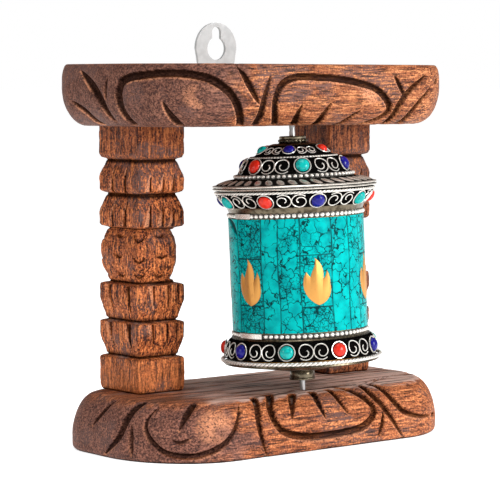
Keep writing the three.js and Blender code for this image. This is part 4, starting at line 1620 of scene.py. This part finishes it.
@dataclass
class DrumBands:
    """The silver bands above and below the drum, with their stones, curls and bead rings."""

    upper: StoneRow = StoneRow(
        "upper_band", UPPER_FACE, 9, -103.8, 5.5, 3.55,
        (Slot.LAPIS, Slot.TURQUOISE, Slot.CORAL), tail_above=True)
    lower: StoneRow = StoneRow(
        "lower_band", LOWER_FACE, 9, -91.8, 4.8, 3.45,
        (Slot.CORAL, Slot.LAPIS, Slot.TURQUOISE), tail_above=False)

    @staticmethod
    def ground(face: BandFace, inner: float) -> bmesh.types.BMesh:
        """The plain wall of a band: its face with a straight inside."""
        points = face.curve()[1]
        outline = [tuple(point) for point in (*points[::6], points[-1])]
        return turned([*outline, (inner, outline[-1][1]), (inner, outline[0][1])], 144)

    def dress_upper(self, finishes: Finishes) -> None:
        """Finishes the band above the drum."""
        finish_silver("upper_band_ground", self.ground(UPPER_FACE, 34.2), finishes.ground,
                      "upper_band")
        collar = turned([(33.8, 93.2), (34.4, 93.2), (34.9, 94.2), (35.25, 95.3), (35.9, 96.2),
                         (35.5, 96.6), (33.8, 96.6)], 144)
        finish_silver("upper_band_collar", collar, finishes.aged)
        finish_silver("upper_band_rope", TwistedWire(41.0, 103.85, 0.72, 118).build(),
                      finishes.wire)
        beads = BeadRing("upper_beads", 34.85, 92.1, 75, (0.85, 1.16, 1.08), 0.35, (-62.0, -42.0))
        finish_silver("upper_bead_strip", beads.build(), finishes.wire, "upper_bead_ring")
        self.upper.dress(finishes)

    def dress_lower(self, finishes: Finishes) -> None:
        """Finishes the band below the drum."""
        finish_silver("lower_band_ground", self.ground(LOWER_FACE, 34.2), finishes.ground,
                      "lower_band")
        collar = turned([(33.8, 28.6), (35.6, 28.6), (35.9, 28.9), (35.5, 29.5), (34.4, 30.1),
                         (33.8, 30.1)], 144)
        finish_silver("lower_band_collar", collar, finishes.aged)
        beads = BeadRing("lower_beads", 34.85, 31.2, 75, (0.85, 1.16, 1.08), 0.35, (-62.0, -35.0))
        finish_silver("lower_bead_strip", beads.build(), finishes.wire, "lower_bead_ring")
        finish_silver("rope_edge_twist", TwistedWire(40.9, 17.75, 0.98, 107).build(),
                      finishes.wire, "rope_edge")
        plate = turned([(1.8, 10.5), (8.0, 10.5), (39.9, 15.5), (40.4, 15.9), (40.3, 16.6),
                        (34.0, 17.3), (31.4, 17.3), (8.0, 11.6), (1.8, 11.6)], 144)
        finish_silver("bottom_plate_pressed", plate, finishes.aged, "bottom_plate")
        self.lower.dress(finishes)


@dataclass
class Cap:
    """The stepped cap: a rim and leaf-marked skirt, two stone-set tiers and a collar."""

    leaves: int = 38
    tier: StoneRow = StoneRow(
        "tier", TIER_FACE, 6, -111.7, 4.7, 3.5, (Slot.LAPIS, Slot.CORAL, Slot.TURQUOISE),
        curl_radius=4.0, tail_above=False, nudges=((1, 5.0),))
    crown: StoneRow = StoneRow(
        "crown", CROWN_FACE, 6, -128.0, 5.6, 2.75, (Slot.CORAL, Slot.TURQUOISE, Slot.LAPIS),
        bezel_gap=0.6, wire=0.24, curl_radius=2.6, tail_above=False, nudges=((3, 6.0), (4, 10.0)))

    def skirt(self) -> bmesh.types.BMesh:
        """The skirt, pressed with a ring of slanting leaves."""
        face = BandFace(((42.3, 107.2), (40.6, 107.75), (36.4, 109.0), (32.0, 110.4), (29.6, 110.9)))
        bm, round_share, up = sheet(self.leaves * 16, 26)
        reach = face.length()
        rise = up * reach
        phase = round_share * self.leaves + 0.85 * up
        across = (phase - np.floor(phase)) * 2.0 - 1.0
        along = (up - 0.44) / 0.30
        leaf = np.clip(1.0 - (across / 0.62) ** 2 - along**2, 0.0, 1.0)
        vein = np.exp(-((across - 0.1) / 0.10) ** 2) * (leaf > 0)
        lift = 0.62 * np.sqrt(leaf) - 0.18 * vein
        places, normal = face.at(round_share * TURN, rise)
        move_to(bm, places + normal * lift[:, None])
        hollow = np.clip(1.0 - leaf * 3.2, 0.0, 1.0) + 0.5 * vein
        plain = np.clip(np.maximum((0.10 - up) / 0.03, (up - 0.93) / 0.03), 0.0, 1.0)
        mark(bm, "hollow", np.clip(hollow * (1.0 - plain), 0.0, 1.0))
        close_seam(bm)
        loops = open_loops(bm)
        for loop, radius, height in ((loops[0], 40.6, 106.6), (loops[-1], 29.6, 109.6)):
            pulled = bmesh.ops.extrude_edge_only(bm, edges=loop)["geom"]
            ends = [item for item in pulled if isinstance(item, bmesh.types.BMVert)]
            for vertex in ends:
                flat = vertex.co.xy.normalized() * radius
                vertex.co = (flat.x, flat.y, height)
        close_ring(bm)
        return bm

    def rim(self) -> bmesh.types.BMesh:
        """The rim: two bright lips with a dark slot between them."""
        outline = [(39.2, 103.9), (40.2, 103.9), (40.4, 105.2), (42.2, 105.35), (42.5, 105.7),
                   (42.3, 106.15), (41.5, 106.3), (41.5, 106.6), (42.35, 106.75), (42.5, 107.1),
                   (42.2, 107.45), (40.8, 107.5), (39.2, 107.0)]
        bm = turned(outline, 160)
        # Painted shadow, black, in the gap under the rim and in the slot between its lips.
        values = [1.0 if v.co.xy.length < 41.6 and v.co.z < 106.7 else 0.0 for v in bm.verts]
        mark(bm, "hollow", np.array(values))
        return bm

    def dress(self, finishes: Finishes) -> None:
        """Finishes the cap's pieces."""
        finish_silver("cap_rim", self.rim(), finishes.silver)
        finish_silver("leaf_skirt", self.skirt(), finishes.silver, "cap_skirt")
        beads = BeadRing("tier_beads", 30.6, 111.75, 68, (0.95, 1.02, 0.95), 0.6)
        finish_silver("tier_bead_strip", beads.build(), finishes.wire, "tier_bead_ring")
        finish_silver("tier_ground", DrumBands.ground(TIER_FACE, 21.5), finishes.ground,
                      "lower_tier")
        lip = BeadRing("tier_lip", 22.4, 121.1, 84, (0.55, 0.8, 0.5), 0.12)
        finish_silver("tier_lip_wire", lip.build(), finishes.wire)
        finish_silver("crown_ground", DrumBands.ground(CROWN_FACE, 8.0), finishes.ground,
                      "upper_tier")
        ring = turned([(10.2, 126.9), (11.8, 126.7), (12.3, 127.1), (11.9, 127.5), (10.2, 127.9)], 96)
        finish_silver("crown_ring", ring, finishes.aged)
        self.tier.dress(finishes)
        self.crown.dress(finishes, nodes=False)
        self.dress_collar(finishes)

    def dress_collar(self, finishes: Finishes) -> None:
        """Finishes the beaded collar on top of the cap."""
        collar = turned([(1.8, 127.8), (7.0, 127.8), (7.4, 128.3), (6.6, 128.6), (6.5, 130.0),
                         (6.9, 130.3), (7.0, 131.2), (6.5, 131.7), (1.8, 131.6)], 72)
        beads = BeadRing("collar_beads", 6.9, 129.3, 19, (0.75, 0.95, 0.8)).build()
        finish_silver("beaded_collar", gather([collar, beads]), finishes.aged, "top_collar")


@dataclass
class Axle:
    """The rod that the wheel turns on, and the bush under the wheel."""

    radius: float = 1.5
    foot: float = -12.0
    head: float = 149.0

    def rod(self) -> bmesh.types.BMesh:
        """The rod, with rounded ends."""
        r, c = self.radius, 0.4
        bm = turned([(0, self.foot), (r - c, self.foot), (r, self.foot + c), (r, self.head - c),
                     (r - c, self.head), (0, self.head)], 40)
        merge(bm, bm.verts)
        face_outwards(bm)
        return bm

    def bush(self) -> bmesh.types.BMesh:
        """The rolled bush: a lip at its foot and a lapped seam at its side."""
        body = turned([(1.8, 5.9), (6.0, 5.9), (6.25, 6.2), (6.25, 9.9), (5.8, 10.5), (1.8, 10.5)], 72)
        lip = turned([(5.6, 5.5), (6.5, 5.55), (6.75, 5.95), (6.7, 6.4), (6.3, 6.7), (5.6, 6.6)], 72)
        seam = lapped_strip(10, (68.0, 102.0), lambda across: 6.32 + 0.45 * across**3, (6.3, 9.9))
        return gather([body, lip, seam])

    def dress(self, finishes: Finishes) -> None:
        """Finishes the rod and the bush as pieces."""
        finish_wheel_piece("turned_rod", self.rod(), finishes.rod, ("axle_rod",))
        finish_silver("rolled_bush", self.bush(), finishes.aged, "bottom_bush")


# ---------------------------------------------------------------- stage


@dataclass
class Studio:
    """The floor, the lights and the camera."""

    camera_place: Point3 = (-0.7386, -0.9026, 0.18705)
    camera_tilt: float = 85.736
    camera_turn: float = -38.796
    focal_length: float = 159.92
    floor_size: float = 60.0
    room_light: float = 0.30
    light_target: Point3 = (0.0, 0.0, 0.1)
    sensor_width: float = 36.0

    def lay_floor(self) -> None:
        """Lays the floor just under the stand."""
        bm = bmesh.new()
        bmesh.ops.create_grid(bm, x_segments=4, y_segments=4, size=self.floor_size)
        mesh = bpy.data.meshes.new("studio_floor")
        bm.to_mesh(mesh)
        bm.free()
        mesh.materials.append(StudioFloor("studio_white").make())
        floor = bpy.data.objects.new("studio_floor", mesh)
        bpy.context.scene.collection.objects.link(floor)

    def light(self, name: str, place: Sequence[float], size: float, power: float) -> None:
        """Hangs a soft square light that faces the middle of the object."""
        lamp = bpy.data.lights.new(name, "AREA")
        lamp.shape = "SQUARE"
        lamp.size = size
        lamp.energy = power
        holder = bpy.data.objects.new(name, lamp)
        aim = Vector(self.light_target) - Vector(place)
        turn = aim.to_track_quat("-Z", "Y").to_matrix().to_4x4()
        holder.matrix_world = Matrix.Translation(place) @ turn
        bpy.context.scene.collection.objects.link(holder)

    def hang_lights(self) -> None:
        """A bright key from the front right, a softer one from above, and a white room."""
        self.light("key_softbox", (0.50, -1.30, 0.50), 0.6, 19.0)
        self.light("top_softbox", (-0.1, -0.1, 1.5), 0.9, 9.0)
        self.light("side_strip", (-1.3, 0.1, 0.5), 0.5, 3.0)
        world = bpy.data.worlds.new("white_room")
        world.use_nodes = True
        tree = world.node_tree
        room = tree.nodes["Background"]
        room.inputs["Color"].default_value = (1.0, 1.0, 1.0, 1.0)
        seen = tree.nodes.new("ShaderNodeLightPath").outputs["Is Camera Ray"]
        strength = tree.nodes.new("ShaderNodeMapRange")
        strength.inputs["To Min"].default_value = self.room_light
        tree.links.new(seen, strength.inputs["Value"])
        tree.links.new(strength.outputs[0], room.inputs["Strength"])
        bpy.context.scene.world = world

    def set_camera(self) -> None:
        """Stands the camera at eye level in front of the stand's left half."""
        camera = bpy.data.cameras.new("camera")
        camera.lens = self.focal_length
        camera.sensor_width = self.sensor_width
        holder = bpy.data.objects.new("camera", camera)
        holder.location = self.camera_place
        holder.rotation_euler = (math.radians(self.camera_tilt), 0.0, math.radians(self.camera_turn))
        bpy.context.scene.collection.objects.link(holder)
        bpy.context.scene.camera = holder

    def build(self) -> None:
        """Sets up the whole studio."""
        self.set_camera()
        self.lay_floor()
        self.hang_lights()
        bpy.context.scene.view_settings.view_transform = "Standard"


def main() -> None:
    """Builds every sub-assembly in order."""
    logging.basicConfig(level=logging.INFO, format="%(message)s")
    Studio().build()
    finishes = Finishes()
    Board("top_board", TOP_FRONT_CUTS + TOP_END_CUTS + mirrored(TOP_END_CUTS), 20.0, False,
          bosses=TOP_BOSSES, edge=2.8, edge_rise=8.0, least_groove_shade=0.85, back_corner=(25.0, 22.0),
          seed=2.0).dress(finishes.top_board)
    Board("base_board", BASE_FRONT_CUTS + BASE_END_CUTS + mirrored(BASE_END_CUTS), 22.0, True,
          bosses=BASE_BOSSES, seed=5.0).dress(finishes.base_board)
    Post("left_post", 3.0).dress(finishes.post)
    Post("right_post", 8.0).dress(finishes.post_in_painted_shade)
    Axle().dress(finishes)
    bands = DrumBands()
    bands.dress_lower(finishes)
    Drum().dress(finishes)
    bands.dress_upper(finishes)
    Cap().dress(finishes)
    dress_node("hanger_plate", finishes.plate)
    for name in ("base_screw_left", "base_screw_right", "top_screw_left",
                 "top_screw_right", "hanger_screw_upper", "hanger_screw_lower"):
        dress_node(name, finishes.steel)


if __name__ == "__main__":
    main()
